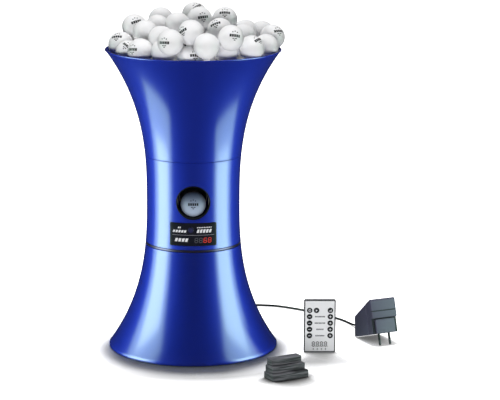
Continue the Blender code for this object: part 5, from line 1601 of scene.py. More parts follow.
@dataclass
class Cord(SubAssembly):
    """One black cord: out of the plug, down, round its tied coil and along the floor to the adapter."""

    diameter: float = 0.0034
    plug_end: float = 0.1492
    plug_length: float = 0.0230
    exit_height: float = 0.0180
    lead: tuple[Pair, ...] = ((0.1640, 0.0168), (0.1750, 0.0143), (0.1880, 0.0140))
    floor_route: tuple[Pair, ...] = (
        (0.0440, 0.2300), (0.0620, 0.2335), (0.0850, 0.2375), (0.1104, 0.2385), (0.1343, 0.2357),
        (0.1508, 0.2296), (0.1671, 0.2201), (0.1798, 0.2113), (0.1960, 0.1990), (0.2140, 0.1825),
        (0.2300, 0.1665), (0.2422, 0.1524), (0.2530, 0.1380), (0.2612, 0.1235))
    rise: tuple[Triple, ...] = ((0.2672, 0.1080, 0.0008), (0.2715, 0.0930, 0.0032))
    coil_centre: Pair = (0.0245, 0.2050)
    coil_radius: float = 0.0245
    coil_pitch: float = 0.0041
    coil_layers: int = 4
    coil_turns: float = 2.3125
    coil_floor: float = 0.0031
    turn_points: int = 24
    curve_points: int = 24
    tie_thickness: float = 0.0008
    tie_width: float = 0.0050
    tie_corner: float = 0.0008
    grip_radius: float = 0.0050
    grip_ridges: int = 5

    def coil(self) -> list[Vector]:
        """The coil's centreline: in, up, out, up, and so on.

        Returns:
            Its points.
        """
        turns = self.coil_layers * self.coil_turns
        count = round(turns * self.turn_points)
        points = []
        for step in range(count + 1):
            turn = turns * step / count
            layer = min(int(turn / self.coil_turns), self.coil_layers - 1)
            share = turn - layer * self.coil_turns
            inward = share if layer % 2 == 0 else self.coil_turns - share
            radius = self.coil_radius - self.coil_pitch * inward
            climb = sum(min(max((turn - change * self.coil_turns) * 2.0 + 0.5, 0.0), 1.0)
                        for change in range(1, self.coil_layers))
            angle = QUARTER_TURN + FULL_TURN * turn
            points.append(Vector((self.coil_centre[0] + radius * math.cos(angle),
                                  self.coil_centre[1] + radius * math.sin(angle),
                                  self.coil_floor + self.coil_pitch * climb)))
        return points

    def smooth_route(self, points: Sequence[Vector], spacing: float) -> list[Vector]:
        """Even points along a smooth curve through the route's own points.

        Args:
            points: The route.
            spacing: The distance between the new points.

        Returns:
            The new points.
        """
        knots = [Vector(p) for p in points]
        knots = [knots[0] * 2.0 - knots[1]] + knots + [knots[-1] * 2.0 - knots[-2]]
        dense = []
        for a, b, c, d in zip(knots, knots[1:], knots[2:], knots[3:]):
            for step in range(self.curve_points):
                t = step / self.curve_points
                dense.append(0.5 * (2.0 * b + (c - a) * t + (2.0 * a - 5.0 * b + 4.0 * c - d) * t * t
                                    + (3.0 * b - a - 3.0 * c + d) * t ** 3))
        dense.append(knots[-2])
        lengths = [0.0]
        for a, b in zip(dense, dense[1:]):
            lengths.append(lengths[-1] + (b - a).length)
        count = max(4, round(lengths[-1] / spacing))
        even = []
        place = 0
        for step in range(count + 1):
            want = lengths[-1] * step / count
            while place < len(lengths) - 2 and lengths[place + 1] < want:
                place += 1
            part = (want - lengths[place]) / max(lengths[place + 1] - lengths[place], 1e-9)
            even.append(dense[place].lerp(dense[place + 1], min(part, 1.0)))
        return even

    def route(self, tip: Vector, direction: Vector) -> list[Vector]:
        """The whole cord, from the plug's end to the adapter's sleeve.

        Args:
            tip: Where the cord enters the sleeve.
            direction: The sleeve's direction.

        Returns:
            Its points.
        """
        coil = self.coil()
        near_end, far_end = coil[0], coil[-1]
        thick = self.diameter
        plug = Vector((0.0, self.plug_end + FIT_GAP, self.exit_height))
        lead = [plug, plug + Vector((0.0, thick, 0.0))] + [Vector((0.0, y, z)) for y, z in self.lead]
        lead += [far_end + Vector((0.0, -thick - FIT_GAP, 0.0)), far_end]
        floor = thick / 2.0 + 0.0002
        run = [near_end, near_end + Vector((FIT_GAP + thick, 0.0, 0.0))]
        run += [Vector((x, y, floor)) for x, y in self.floor_route]
        run += [Vector((x, y, floor + rise)) for x, y, rise in self.rise]
        run += [tip + direction * (FIT_GAP + 2.6 * thick), tip + direction * (FIT_GAP + thick),
                tip + direction * FIT_GAP]
        spacing = 2.4 * thick
        return self.smooth_route(lead, spacing)[:-1] + coil[::-1] + self.smooth_route(run, spacing)[1:]

    def build(self, tip: Vector, direction: Vector, sleeve: Piece) -> None:
        """Args:
            tip: Where the cord enters the adapter's sleeve.
            direction: The sleeve's direction.
            sleeve: The adapter's cord sleeve, which is the cord's far end.
        """
        points = self.route(tip, direction)
        curve = bpy.data.curves.new("mains_cord", "CURVE")
        curve.dimensions = "3D"
        curve.bevel_depth = self.diameter / 2.0
        curve.bevel_resolution = 4
        curve.use_fill_caps = True
        spline = curve.splines.new("POLY")
        spline.points.add(len(points) - 1)
        for point, place in zip(spline.points, points):
            point.co = (*place, 1.0)
        cord = bpy.data.objects.new("mains_cord", curve)
        bpy.context.scene.collection.objects.link(cord)
        dress(cord, self.finishes.cord, "cord_black", "base", "cord_lead", "cord_coil", "cord_run")
        pieces = [self.build_tie(), self.build_plug(), sleeve]

    def build_tie(self) -> Piece:
        """The flat band round the coil's turns.

        Returns:
            The band.
        """
        near = self.coil_radius - self.coil_pitch * self.coil_turns - self.diameter / 2.0 - 2.0 * FIT_GAP
        far = self.coil_radius + self.diameter / 2.0 + 2.0 * FIT_GAP
        low = self.tie_thickness + FIT_GAP
        high = self.coil_floor + self.coil_pitch * (self.coil_layers - 1) + self.diameter / 2.0 + FIT_GAP
        centre = (self.coil_centre[0] + (near + far) / 2.0, (low + high) / 2.0)
        middle, half, grow = self.coil_centre[1], self.tie_width / 2.0, 2.0 * self.tie_thickness
        outer = rounded_rectangle(far - near + grow, high - low + grow, 2.0 * self.tie_corner, 4, centre)
        inner = rounded_rectangle(far - near, high - low, self.tie_corner, 4, centre)
        tie = prism("cord_band", outer, middle - half, middle + half)
        combine(tie, prism("band_hole", inner, middle - 2.0 * self.tie_width, middle + 2.0 * self.tie_width))
        soften_edges(tie, 0.00015, 1, 50.0)
        smooth(tie, 30.0)
        return dress(tie, self.finishes.black, "black_plastic", "base", "cord_tie")

    def build_plug(self) -> Piece:
        """The round power plug with its ridged grip.

        Returns:
            The plug.
        """
        grip, wide = self.plug_length, self.grip_radius
        groove = wide - 0.0005
        tail = self.diameter / 2.0 + 0.0008
        outline = [(0.0, -0.0095), (0.00275, -0.0095), (0.00275, 0.0), (wide - 0.0004, 0.0), (wide, 0.0004)]
        for ridge in range(self.grip_ridges):
            base = 0.0016 + ridge * 0.0019
            outline += [(wide, base), (groove, base + 0.0003), (groove, base + 0.0009),
                        (wide, base + 0.0012)]
        outline += [(wide, grip * 0.50), (0.0036, grip * 0.62), (tail + 0.0002, grip * 0.85),
                    (tail, grip), (0.0, grip)]
        plug = lathe("power_plug", outline, 40, Axis.BACK, (0.0, self.plug_end - grip, self.exit_height))
        smooth(plug, 35.0)
        return dress(plug, self.finishes.cord, "cord_black", "base", "dc_plug")


@dataclass
class Adapter(SubAssembly):
    """The wedge-shaped mains adapter, tipped onto its pins."""

    corner: Pair = (0.2665, 0.0360)
    yaw: float = math.radians(24.0)
    width: float = 0.0460
    depth: float = 0.0700
    height: float = 0.0570
    rear_height: float = 0.0340
    rear_lean: float = 0.0070
    foot_lean: float = 0.0015
    foot_height: float = 0.0060
    lip_height: float = 0.0250
    chin: float = 0.0040
    brow: float = 0.0025
    groove: Pair = (0.0362, 0.0380)
    groove_depth: float = 0.0012
    seam_depth: float = 0.0180
    seam_width: float = 0.0016
    seam_bite: float = 0.0010
    block_size: Pair = (0.0350, 0.0232)
    block_middle: float = 0.0119
    plug_depth: float = 0.0137
    pin_radius: float = 0.0020
    pin_length: float = 0.0190
    pin_root: float = 0.0055
    pin_spacing: float = 0.0186
    sleeve_length: float = 0.0100
    relief_length: float = 0.0200
    relief_height: float = 0.0170
    relief_root: float = 0.0034
    relief_ribs: int = 6
    cord_diameter: float = 0.0034

    def seat(self) -> Matrix:
        """Where the adapter's plug face stands.

        Returns:
            The matrix from the adapter's own frame to the row frame.
        """
        pin_back = self.chin + self.plug_depth / 2.0
        tilt = math.atan(self.pin_length / (self.depth - pin_back))
        turn = Matrix.Rotation(self.yaw, 4, "Z") @ Matrix.Rotation(-tilt, 4, "X")
        corner = turn @ Vector((-self.width / 2.0, self.depth, 0.0))
        return Matrix.Translation(Vector((*self.corner, FIT_GAP)) - corner) @ turn

    def top(self, back: float) -> float:
        """Height of the sloping upper side at a depth."""
        return self.height - (self.height - self.rear_height) * back / self.depth

    def side_form(self, name: str, outline: Outline, round_off: float) -> Piece:
        """Extrude a side view across the adapter's width and round its edges.

        Args:
            name: The name of the piece.
            outline: Its (depth, height) points.
            round_off: The width of the rounding.

        Returns:
            The piece in the adapter's own frame.
        """
        half = self.width / 2.0
        piece = prism(name, outline, -half, half, Matrix.Rotation(QUARTER_TURN, 4, "Z"))
        soften_edges(piece, round_off, 4)
        return piece

    def build(self) -> tuple[Vector, Vector, Piece]:
        """Model and dress the adapter.

        Returns:
            Where the cord enters the sleeve, the sleeve's direction, and the sleeve.
        """
        seat = self.seat()
        split, back, lean = self.seam_depth, self.depth, self.foot_lean
        case = self.side_form("adapter_rear", [
            (split + FIT_GAP, 0.0), (back, 0.0), (back - lean, self.foot_height),
            (back - lean - self.rear_lean, self.rear_height), (split + FIT_GAP, self.top(split))], 0.0014)
        cover = self.build_cover(seat)
        shaded_faces = self.painted_shade_faces(cover)
        for piece, node in ((case, "adapter_case"), (cover, "adapter_cover")):
            move_mesh(piece, seat)
            smooth(piece, 30.0)
            dress(piece, self.finishes.charcoal, "charcoal_plastic", "base", node)
        # Painted shade: the faces in the grooves, the seams and behind the plug block get nearly black
        # plastic.
        cover.data.materials.append(self.finishes.recess)
        for face in shaded_faces:
            cover.data.polygons[face].material_index = 1
        return self.build_relief(seat, case)

    def build_cover(self, seat: Matrix) -> Piece:
        """The front cover with its grooves, its plug block and the pins in it.

        Args:
            seat: The adapter's place.

        Returns:
            The cover in the adapter's own frame.
        """
        half, split, chin = self.width / 2.0, self.seam_depth, self.chin
        cover = self.side_form("adapter_front", [
            (chin, 0.0), (split, 0.0), (split, self.top(split)), (self.brow, self.height),
            (0.0, self.height - self.brow), (0.0, self.lip_height), (chin, self.lip_height)], 0.0012)
        combine(cover, box("groove", (-half - 0.01, -0.001, self.groove[0]),
                           (half + 0.01, self.groove_depth, self.groove[1])))
        for side in (-1.0, 1.0):
            edges = sorted((side * (half - self.seam_bite), side * (half + 0.01)))
            combine(cover, box("seam_groove", (edges[0], split - self.seam_width, -0.01),
                               (edges[1], split + 0.01, 0.08)))
        block = prism("plug_block", rounded_rectangle(*self.block_size, 0.0015, 4, (0.0, self.block_middle)),
                      0.0008, chin + 0.002)
        soften_edges(block, 0.0005, 2, 50.0)
        combine(cover, block, Combine.UNITE)
        back = chin + self.plug_depth / 2.0
        for side, name in ((-1.0, "left"), (1.0, "right")):
            across = side * self.pin_spacing / 2.0
            middle = (across, back, 0.0009)
            combine(cover, rod("pin_hole", self.pin_radius + 0.0002, 0.0098, middle, 32, 0.0))
            self.build_pin(name, seat @ Matrix.Translation((across, back, 0.0)))
        return cover

    def painted_shade_faces(self, cover: Piece) -> list[int]:
        """Find the faces in the grooves and behind the plug block, where little light comes, which get the
        painted shade.

        Args:
            cover: The front cover, in the adapter's own frame.

        Returns:
            The numbers of those faces.
        """
        half, near = self.width / 2.0, 0.0004
        found = []
        for face in cover.data.polygons:
            x, depth, z = face.center
            groove = self.groove[0] < z < self.groove[1] and depth < self.groove_depth + 0.0002
            seam = (depth > self.seam_depth - self.seam_width - 0.0001
                    and abs(x) > half - self.seam_bite - 0.0005 and abs(face.normal.y) < 0.9)
            chin = abs(depth - self.chin) < near and z < self.lip_height
            under = abs(z - self.lip_height) < near and depth < self.chin
            if groove or seam or chin or under:
                found.append(face.index)
        return found

    def build_pin(self, name: str, place: Matrix) -> None:
        """A mains pin with its bright tip and its black sleeve.

        Args:
            name: left or right.
            place: Where its root goes.
        """
        r, tip, sleeve_end = self.pin_radius, -self.pin_length, -self.sleeve_length
        outline = [(0.0, tip), (r * 0.35, tip), (r * 0.75, tip + 0.0004), (r * 0.95, tip + 0.0012),
                   (r, tip + 0.0022), (r, sleeve_end), (r * 0.92, sleeve_end), (r * 0.92, self.pin_root),
                   (0.0, self.pin_root)]
        pin = move_mesh(lathe(f"pin_{name}", outline, 32), place)
        smooth(pin, 40.0)
        dress(pin, self.finishes.pin_steel, "steel", "base", f"adapter_pin_{name}")
        high = self.pin_root - 0.0005
        outline = [(r * 0.93, high), (r * 0.93, sleeve_end + 0.00005), (r, sleeve_end + 0.0001), (r, high)]
        sleeve = move_mesh(lathe(f"pin_sleeve_{name}", outline, 32), place)
        smooth(sleeve, 40.0)
        dress(sleeve, self.finishes.sleeve, "black_plastic", "base")

    def build_relief(self, seat: Matrix, case: Piece) -> tuple[Vector, Vector, Piece]:
        """The ribbed sleeve where the cord enters.

        Args:
            seat: The adapter's place.
            case: The rear case, which the sleeve enters.

        Returns:
            Where the cord enters the sleeve, its direction, and the sleeve.
        """
        climb = (self.relief_height - self.foot_height) / (self.rear_height - self.foot_height)
        face = self.depth - self.foot_lean - self.rear_lean * climb
        root, tail, long = self.relief_root, self.cord_diameter / 2.0 + 0.0007, self.relief_length
        outline = [(0.0, -0.0030), (root, -0.0030)]
        for rib in range(self.relief_ribs):
            base = long * (rib + 0.25) / self.relief_ribs
            size = root + (tail - root) * (rib + 0.3) / self.relief_ribs
            groove = size - 0.0007
            outline += [(size, base), (size, base + 0.0013), (groove, base + 0.0015),
                        (groove, base + 0.0023)]
        outline += [(tail, long - 0.0003), (tail - 0.0002, long), (0.0, long)]
        sleeve = lathe("cord_sleeve", outline, 32, Axis.BACK, (0.0, face, self.relief_height))
        move_mesh(sleeve, seat)
        smooth(sleeve, 35.0)
        hole = rod("sleeve_hole", root + 0.0002, 0.014, sides=32, tilt=0.0)
        middle = Matrix.Translation((0.0, face + 0.003, self.relief_height))
        move_mesh(hole, seat @ middle @ Axis.BACK.turn())
        combine(case, hole)
        smooth(case, 30.0)
        tip = seat @ Vector((0.0, face + long, self.relief_height))
        direction = (seat.to_3x3() @ Vector((0.0, 1.0, 0.0))).normalized()
        dress(sleeve, self.finishes.cord, "cord_black", "base", "strain_relief")
        return tip, direction, sleeve


# Remote and wedge


@dataclass
class Remote(SubAssembly):
    """The card remote: thin rim, silver face, black buttons with white marks, printed digits."""

    place: Pair = (0.2028, -0.0515)
    lift: float = 0.0002
    width: float = 0.0510
    height: float = 0.0870
    thickness: float = 0.0060
    corner: float = 0.0025
    rim: float = 0.0009
    floor: float = -0.0005
    bay_low: Triple = (-0.0040, -0.0003, 0.0084)
    bay_high: Triple = (0.0275, 0.0026, 0.0316)
    face_thickness: float = 0.0008
    button_radius: float = 0.0043
    button_proud: float = 0.0006
    button_back: float = -0.0022
    columns: Triple = (0.179, 0.394, 0.830)
    rows: tuple[float, ...] = (0.201, 0.320, 0.442, 0.561, 0.682)
    print_lift: float = 0.00008
    mark_reach: float = 0.0019
    mark_stroke: float = 0.00042
    label_widths: tuple[float, ...] = (0.32, 0.34, 0.24, 0.29)
    label_column: float = 0.505
    label_bars: int = 8
    label_half: float = 0.0011
    label_share: float = 0.33
    border: float = 0.0007
    digit_columns: tuple[float, ...] = (0.305, 0.433, 0.561, 0.689)
    digit_row: float = 0.842
    digit_size: Pair = (0.0050, 0.0090)
    digit_stroke: float = 0.0014
    dot_radius: float = 0.0005
    tick_row: float = 0.935

    def seat(self) -> Matrix:
        """The remote's place in the row frame."""
        return Matrix.Translation((*self.place, self.lift))

    def spot(self, column: float, row: float) -> Pair:
        """Turn shares of the face's width and height into a place on it."""
        return ((column - 0.5) * self.width, (1.0 - row) * self.height)

    def card(self, name: str, inset: float, front: float, back: float) -> Piece:
        """A plate with the remote's outline.

        Args:
            name: Its name.
            inset: How far it stands in from the case's edge.
            front: The Y of its front.
            back: The Y of its back.

        Returns:
            The plate.
        """
        outline = rounded_rectangle(self.width - 2.0 * inset, self.height - 2.0 * inset, self.corner - inset,
                                    6, (0.0, self.height / 2.0))
        return prism(name, outline, front, back)

    def build(self) -> None:
        """Model and dress the remote."""
        front = -self.thickness / 2.0
        case = self.card("remote_shell", 0.0, front, self.thickness / 2.0)
        combine(case, self.card("recess", self.rim, front - 0.002, self.floor))
        combine(case, box("cell_bay", self.bay_low, self.bay_high))
        soften_edges(case, 0.0003, 2, 50.0)
        smooth(case, 30.0)
        dress(move_mesh(case, self.seat()), self.finishes.remote_grey, "grey_plastic", "base", "remote_case")
        self.build_face(front)
        self.build_buttons(front)
        self.build_prints(front)

    def button_places(self) -> list[tuple[str, Pair]]:
        """Name and place of each button.

        Returns:
            Pairs of a name and an (x, z) place.
        """
        names = ("button_power", "button_play", "button_mode")
        places = [(name, self.spot(column, self.rows[0])) for name, column in zip(names, self.columns)]
        for row, name in zip(self.rows[1:], ("rate", "sweep", "speed", "spin")):
            places.append((f"button_{name}_down", self.spot(self.columns[0], row)))
            places.append((f"button_{name}_up", self.spot(self.columns[2], row)))
        return places

    def build_face(self, front: float) -> None:
        """The silver face with a hole for each button.

        Args:
            front: The Y of its front.
        """
        face = self.card("remote_front", self.rim + FIT_GAP, front, front + self.face_thickness)
        holes = [rod("button_hole", self.button_radius + 0.0002, 0.01, (x, front, z), 40)
                 for _, (x, z) in self.button_places()]
        combine(face, join("button_holes", holes))
        smooth(face, 30.0)
        dress(move_mesh(face, self.seat()), self.finishes.film, "brushed_face", "base", "remote_face")

    def build_buttons(self, front: float) -> None:
        """The domed buttons and the white mark on each.

        Args:
            front: The Y of the face.
        """
        r = self.button_radius
        face = -front + self.button_proud
        outline = [(0.0, -self.button_back), (r, -self.button_back), (r, face - 0.0005),
                   (r - 0.0001, face - 0.0002), (r - 0.0005, face), (0.0, face)]
        cap = lathe("button_pattern", outline, 40, Axis.FRONT)
        smooth(cap, 40.0)
        for name, (x, z) in self.button_places():
            matrix = self.seat() @ Matrix.Translation((x, 0.0, z))
            dress(copy_of(cap, f"{name}_cap", matrix), self.finishes.button, "black_plastic", f"{name}_body",
                  name)
            mark = join(f"{name}_mark", self.mark(name, -face))
            dress(move_mesh(mark, matrix), self.finishes.white_ink, "black_plastic", f"{name}_body")
        bpy.data.objects.remove(cap, do_unlink=True)

    def print_at(self, outline: Outline, front: float) -> Piece:
        """A flat print on a face."""
        return prism("print", outline, front - self.print_lift, front + self.print_lift)

    def mark(self, name: str, front: float) -> list[Piece]:
        """The white mark of a button, about the button's own middle.

        Args:
            name: The button's name.
            front: The Y of its face.

        Returns:
            The mark's parts.
        """
        reach, stroke = self.mark_reach, self.mark_stroke
        outlines = [block_outline(-reach, reach, -stroke, stroke)]
        if name.endswith("_up"):
            outlines += [block_outline(-stroke, stroke, stroke, reach),
                         block_outline(-stroke, stroke, -reach, -stroke)]
        if name == "button_play":
            outlines = [[(-0.0011, -0.0017), (0.0019, 0.0), (-0.0011, 0.0017)]]
        if name == "button_mode":
            low = -0.0016
            outlines = [block_outline(x - 0.0005, x + 0.0005, low, low + tall)
                        for x, tall in ((-0.0016, 0.0012), (0.0, 0.0022), (0.0016, 0.0032))]
        if name == "button_power":
            ring = self.print_at(round_outline(0.0021, 32), front)
            combine(ring, prism("ring_hole", round_outline(0.0015, 32), front - 0.001, front + 0.001))
            thin = stroke * 0.8
            return [ring, self.print_at(block_outline(-thin, thin, 0.0, 0.0012), front)]
        return [self.print_at(outline, front) for outline in outlines]

    def build_prints(self, front: float) -> None:
        """Generic bars between the buttons, the border, the printed digits and the ticks under them.

        Args:
            front: The Y of the face.
        """
        outlines = []
        tall = self.label_half
        for row, wide in zip(self.rows[1:], self.label_widths):
            x, z = self.spot(self.label_column, row)
            pitch = wide * self.width / self.label_bars
            half = pitch * self.label_share
            for place in range(self.label_bars):
                middle = x + pitch * (place + 0.5 - self.label_bars / 2.0)
                outlines.append(block_outline(middle - half, middle + half, z - tall, z + tall))
        gap, wide = self.rim + FIT_GAP + 0.0001, self.border
        left, right, low, high = gap - self.width / 2, self.width / 2 - gap, gap, self.height - gap
        outlines += [block_outline(left, left + wide, low, high),
                     block_outline(right - wide, right, low, high),
                     block_outline(left, right, low, low + wide),
                     block_outline(left, right, high - wide, high)]
        for column in self.digit_columns:
            x, z = self.spot(column, self.digit_row)
            outlines += digit_outlines((x, z), self.digit_size, self.digit_stroke).values()
            outlines.append(round_outline(self.dot_radius, 12, (x + 0.0033, z - 0.0041)))
            x, z = self.spot(column, self.tick_row)
            outlines.append([(x - 0.0011, z - 0.0009), (x + 0.0011, z - 0.0009), (x + 0.0006, z + 0.0009),
                             (x - 0.0006, z + 0.0009)])
        piece = join("remote_prints", [self.print_at(outline, front) for outline in outlines])
        dress(move_mesh(piece, self.seat()), self.finishes.dark_ink, "brushed_face", "base")


@dataclass
class Wedge(SubAssembly):
    """The stepped rubber wedge that tips the base."""

    place: Pair = (0.1435, -0.1905)
    yaw: float = math.radians(29.3)
    length: float = 0.0630
    depth: float = 0.0280
    step_height: float = 0.0103
    steps: int = 3
    step_back: float = 0.0065
    end_setback: float = 0.0025
    bow: float = 0.0018
    overlap: float = 0.0010
    joint: Pair = (0.0002, 0.0014)
    joint_depth: float = 0.0015

    def tier(self, step: int) -> Piece:
        """One tier with its bowed front.

        Args:
            step: Its number from below.

        Returns:
            The tier.
        """
        half = self.length / 2.0 - self.end_setback * step
        front = -self.depth / 2.0 + self.step_back * step
        arc = [(x, front - self.bow * (1.0 - (x / half) ** 2)) for x in np.linspace(-half, half, 17)]
        outline = arc + [(half, self.depth / 2.0), (-half, self.depth / 2.0)]
        bottom = self.step_height * step - (self.overlap if step else 0.0)
        return prism("tier", [(x, -y) for x, y in outline], bottom, self.step_height * (step + 1),
                     Matrix.Rotation(QUARTER_TURN, 4, "X"))

    def build(self) -> None:
        """Model and dress the wedge."""
        wedge = self.tier(0)
        for step in range(1, self.steps):
            combine(wedge, self.tier(step), Combine.UNITE)
        for step in range(1, self.steps):
            low = self.step_height * step
            front = -self.depth / 2.0 + self.step_back * step
            combine(wedge, box("joint", (-self.length, -self.depth, low + self.joint[0]),
                               (self.length, front + self.joint_depth, low + self.joint[1])))
        wedge.name = "tilting_wedge"
        fix_normals(wedge)
        soften_edges(wedge, 0.0008, 2, 40.0)
        matrix = Matrix.Translation((*self.place, 0.0)) @ Matrix.Rotation(self.yaw, 4, "Z")
        smooth(wedge, 30.0)
        dress(move_mesh(wedge, matrix), self.finishes.rubber, "wedge_rubber", "base", "tilt_wedge")


@dataclass
class CarriedOver(SubAssembly):
    """CAD nodes whose own shape shows; they only get a better finish."""

    def by_slot(self) -> dict[str, bpy.types.Material]:
        """Choose a finish for each slot of the record.

        Returns:
            The material for each slot.
        """
        made = self.finishes
        return {
            "black_plastic": made.black, "grey_plastic": made.grey, "white_acetal": made.acetal,
            "steel": made.steel, "foot_rubber": made.foot, "board": made.board, "cord_black": made.cord,
            "metallic_blue": made.blue, "ball_white": made.ball, "tan_rubber": made.tan,
            "smoked_window": made.window, "sensor_lens": made.lens, "charcoal_plastic": made.charcoal,
            "brushed_face": made.film, "wedge_rubber": made.rubber}

    def build(self) -> None:
        """Dress every CAD node by its slot in the record."""
        finishes = self.by_slot()
        for part in frame["record"]["subparts"]:
            node = frame["nodes"][part["node"]]
            for place in node.material_slots:
                place.material = finishes[part["material_slot"]]
            LOG.info("node %s dressed as %s", node.name, part["material_slot"])


# Camera, light and floor


@dataclass(frozen=True)
class PhotoCamera:
    """A long lens in front of the robot, a little above it and looking down."""

    distance: float = 3.2747
    height: float = 0.9259
    pitch: float = 0.2067
    focal_px: float = 2080.88
    frame_px: float = 500.0
    tall_px: float = 400.0
    aside_px: float = 58.0
    sensor_mm: float = 36.0
    sight: float = 60.0

    def matrix(self) -> Matrix:
        """Give the camera's place, turned so that the robot stands left of the middle.

        Returns:
            The camera's world matrix.
        """
        yaw = math.atan(self.aside_px / self.focal_px)
        roll = yaw * math.tan(self.pitch)
        return Matrix.Translation((0.0, -self.distance, self.height)) @ \
            Matrix.Rotation(-yaw, 4, "Z") @ Matrix.Rotation(QUARTER_TURN - self.pitch, 4, "X") @ \
            Matrix.Rotation(roll, 4, "Z")

    def sight_lines(self, pixels: list[Pair]) -> tuple[np.ndarray, np.ndarray]:
        """Find the lines that the camera sees at some places of its picture.

        Args:
            pixels: The places, counted from the picture's upper left corner.

        Returns:
            The eye, and one unit direction for each place.
        """
        matrix = self.matrix()
        towards = []
        for right, down in pixels:
            local = Vector(((right - self.frame_px / 2.0) / self.focal_px,
                            (self.tall_px / 2.0 - down) / self.focal_px, -1.0))
            towards.append(matrix.to_3x3() @ local.normalized())
        return np.array(matrix.translation), np.array(towards)

    def place(self) -> None:
        """Add the camera and look through it."""
        data = bpy.data.cameras.new("photo_camera")
        data.sensor_width = self.sensor_mm
        data.lens = self.focal_px / self.frame_px * self.sensor_mm
        data.clip_end = self.sight
        camera = bpy.data.objects.new("photo_camera", data)
        bpy.context.scene.collection.objects.link(camera)
        camera.matrix_world = self.matrix()
        bpy.context.scene.camera = camera


class Lights(Enum):
    """What a lamp may light."""

    GLOSS = "only the shine of a surface"
    BODY = "only its matt colour"


@dataclass(frozen=True)
class Softbox:
    """A rectangular lamp that faces the object."""

    name: str
    lights: Lights
    bearing: float
    distance: float
    height: float
    size: Pair
    radiance: float
    colour: str = "#FFFFFF"
    aim: float = 0.30

    def build(self) -> None:
        """Add the lamp; its bearing is counted from the camera's side towards +X."""
        lamp = bpy.data.lights.new(self.name, "AREA")
        lamp.shape = "RECTANGLE"
        lamp.size, lamp.size_y = self.size
        lamp.color = linear(self.colour)[:3]
        lamp.energy = self.radiance * math.pi * self.size[0] * self.size[1]
        item = bpy.data.objects.new(self.name, lamp)
        bpy.context.scene.collection.objects.link(item)
        turn = math.radians(self.bearing)
        place = Vector((self.distance * math.sin(turn), -self.distance * math.cos(turn), self.height))
        facing = (Vector((0.0, 0.0, self.aim)) - place).to_track_quat("-Z", "Y")
        item.matrix_world = Matrix.Translation(place) @ facing.to_matrix().to_4x4()
        item.visible_camera = False
        item.visible_diffuse = self.lights is Lights.BODY
        item.visible_glossy = self.lights is Lights.GLOSS


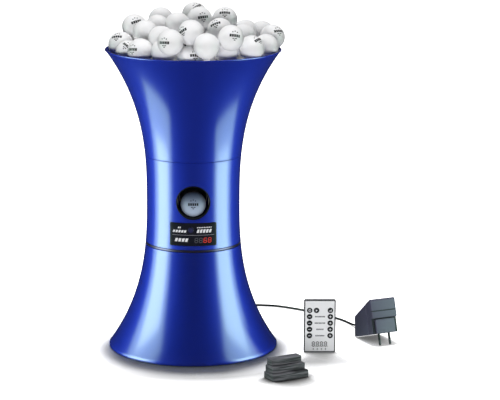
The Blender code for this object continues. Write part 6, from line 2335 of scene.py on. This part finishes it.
@dataclass
class Studio:
    """Tall softboxes at the sides for the shine, soft lamps above and low in front, white paper."""

    floor_size: float = 14.0
    surround: float = 0.03
    paper: float = 1.16
    paper_bounce: float = 0.40
    small_parts_radius: Pair = (0.16, 0.20)
    small_parts_back: Pair = (-0.11, -0.05)
    contact_reach: Pair = (0.030, 0.120)
    contact_depth: Pair = (1.2, 5.5)
    contact_samples: int = 16
    lean: Triple = (-0.20, 0.68, 0.70)
    shadow_zone: Pair = (0.132, 0.175)
    shadow_centre: Triple = (0.0, 0.03, 0.0)
    softboxes: tuple[Softbox, ...] = (
        Softbox("left_softbox", Lights.GLOSS, -80.0, 1.6, 0.18, (1.56, 2.70), 2.5, "#CEF6E2", 0.18),
        Softbox("left_softbox_core", Lights.GLOSS, -78.0, 1.58, 0.26, (0.90, 1.30), 3.9, "#D8F8E6", 0.26),
        Softbox("right_softbox", Lights.GLOSS, 77.0, 1.6, 0.40, (1.46, 2.45), 2.2, "#CAF6E2", 0.40),
        Softbox("right_softbox_core", Lights.GLOSS, 75.0, 1.58, 0.34, (0.94, 1.30), 3.2, "#D2F8E6", 0.34),
        Softbox("overhead_lamp", Lights.BODY, 180.0, 0.50, 6.00, (0.75, 0.80), 176.0, "#FFFFFF", 0.0),
        Softbox("front_fill", Lights.BODY, -12.0, 3.0, 0.20, (1.8, 0.5), 16.0),
        Softbox("low_right_fill", Lights.BODY, 22.0, 1.3, 0.14, (0.5, 0.22), 11.0, "#FFFFFF", 0.06))

    def build(self) -> None:
        """Set up the stage."""
        scene = bpy.context.scene
        scene.view_settings.view_transform = "Standard"
        self.build_world(scene)
        self.build_floor()
        for softbox in self.softboxes:
            softbox.build()

    def build_world(self, scene: bpy.types.Scene) -> None:
        """White where the camera looks past the floor, and a dim room elsewhere.

        Args:
            scene: The scene that gets the world.
        """
        world = bpy.data.worlds.new("studio_surround")
        scene.world = world
        world.use_nodes = True
        bench = Bench(world.node_tree)
        bench.tree.nodes.clear()
        strength = bench.span(bench.seen(), self.surround, 1.0)
        light = bench.add("ShaderNodeBackground", {"Color": WHITE, "Strength": strength})
        bench.add("ShaderNodeOutputWorld", {"Surface": light.outputs["Background"]})

    def contact(self, bench: Bench, place: Socket, seen: Socket) -> Socket:
        """How bright the paper stays where something stands close to it.

        The reach is longer and the shade deeper beside the small parts than under the base.

        Args:
            bench: The floor's node tree.
            place: The coordinates.
            seen: 1 for the camera.

        Returns:
            A factor, 1 where nothing is near.
        """
        away = bench.add("ShaderNodeVectorMath", {0: place}, operation="LENGTH").outputs["Value"]
        behind = bench.add("ShaderNodeSeparateXYZ", {"Vector": place}).outputs["Y"]
        ring = bench.maths(bench.span(away, 0.0, 1.0, *self.small_parts_radius),
                           bench.span(behind, 1.0, 0.0, *self.small_parts_back))
        reach = bench.span(ring, *self.contact_reach)
        depth = bench.maths(bench.span(ring, *self.contact_depth), seen)
        towards = bench.add("ShaderNodeCombineXYZ", dict(zip("XYZ", self.lean))).outputs["Vector"]
        nearby = bench.add("ShaderNodeAmbientOcclusion", {"Distance": reach, "Normal": towards},
                           samples=self.contact_samples)
        return bench.maths(nearby.outputs["AO"], depth, "POWER")

    def build_floor(self) -> None:
        """White paper that keeps the shadows near the object and glows evenly farther out."""
        floor = start(Primitive.PLANE, "studio_floor", size=self.floor_size)
        made = bpy.data.materials.new("white_sweep_paper")
        made.use_nodes = True
        bench = Bench(made.node_tree)
        bench.tree.nodes.remove(bench.tree.nodes["Principled BSDF"])
        seen = bench.seen()
        place = bench.add("ShaderNodeTexCoord").outputs["Object"]
        contact = self.contact(bench, place, seen)
        tone = bench.maths(bench.span(seen, self.paper_bounce, self.paper), contact)
        sheet = bench.add("ShaderNodeBsdfDiffuse", {"Color": tone})
        offset = bench.add("ShaderNodeVectorMath", {
            0: place, 1: self.shadow_centre}, operation="ADD").outputs["Vector"]
        spread = bench.add("ShaderNodeVectorMath", {0: offset}, operation="LENGTH").outputs["Value"]
        far = bench.span(spread, 0.0, 1.0, *self.shadow_zone, interpolation_type="SMOOTHSTEP")
        lift = bench.maths(bench.maths(far, seen), contact)
        glow = bench.add("ShaderNodeEmission", {"Color": WHITE, "Strength": lift})
        both = bench.add("ShaderNodeAddShader", {0: sheet.outputs["BSDF"], 1: glow.outputs["Emission"]})
        bench.tree.links.new(both.outputs["Shader"], bench.tree.nodes["Material Output"].inputs["Surface"])
        floor.data.materials.append(made)
        floor.visible_glossy = False
        floor.visible_shadow = False


def main() -> None:
    """Build every sub-assembly in order."""
    logging.basicConfig(level=logging.INFO, format="%(message)s")
    PhotoCamera().place()
    Studio().build()
    finishes = Finishes()
    tip, direction, sleeve = Adapter(finishes).build()
    Cord(finishes).build(tip, direction, sleeve)
    for kind in (CarriedOver, Shells, ThrowingHead, Display, Balls, Remote, Wedge):
        kind(finishes).build()


if __name__ == "__main__":
    main()
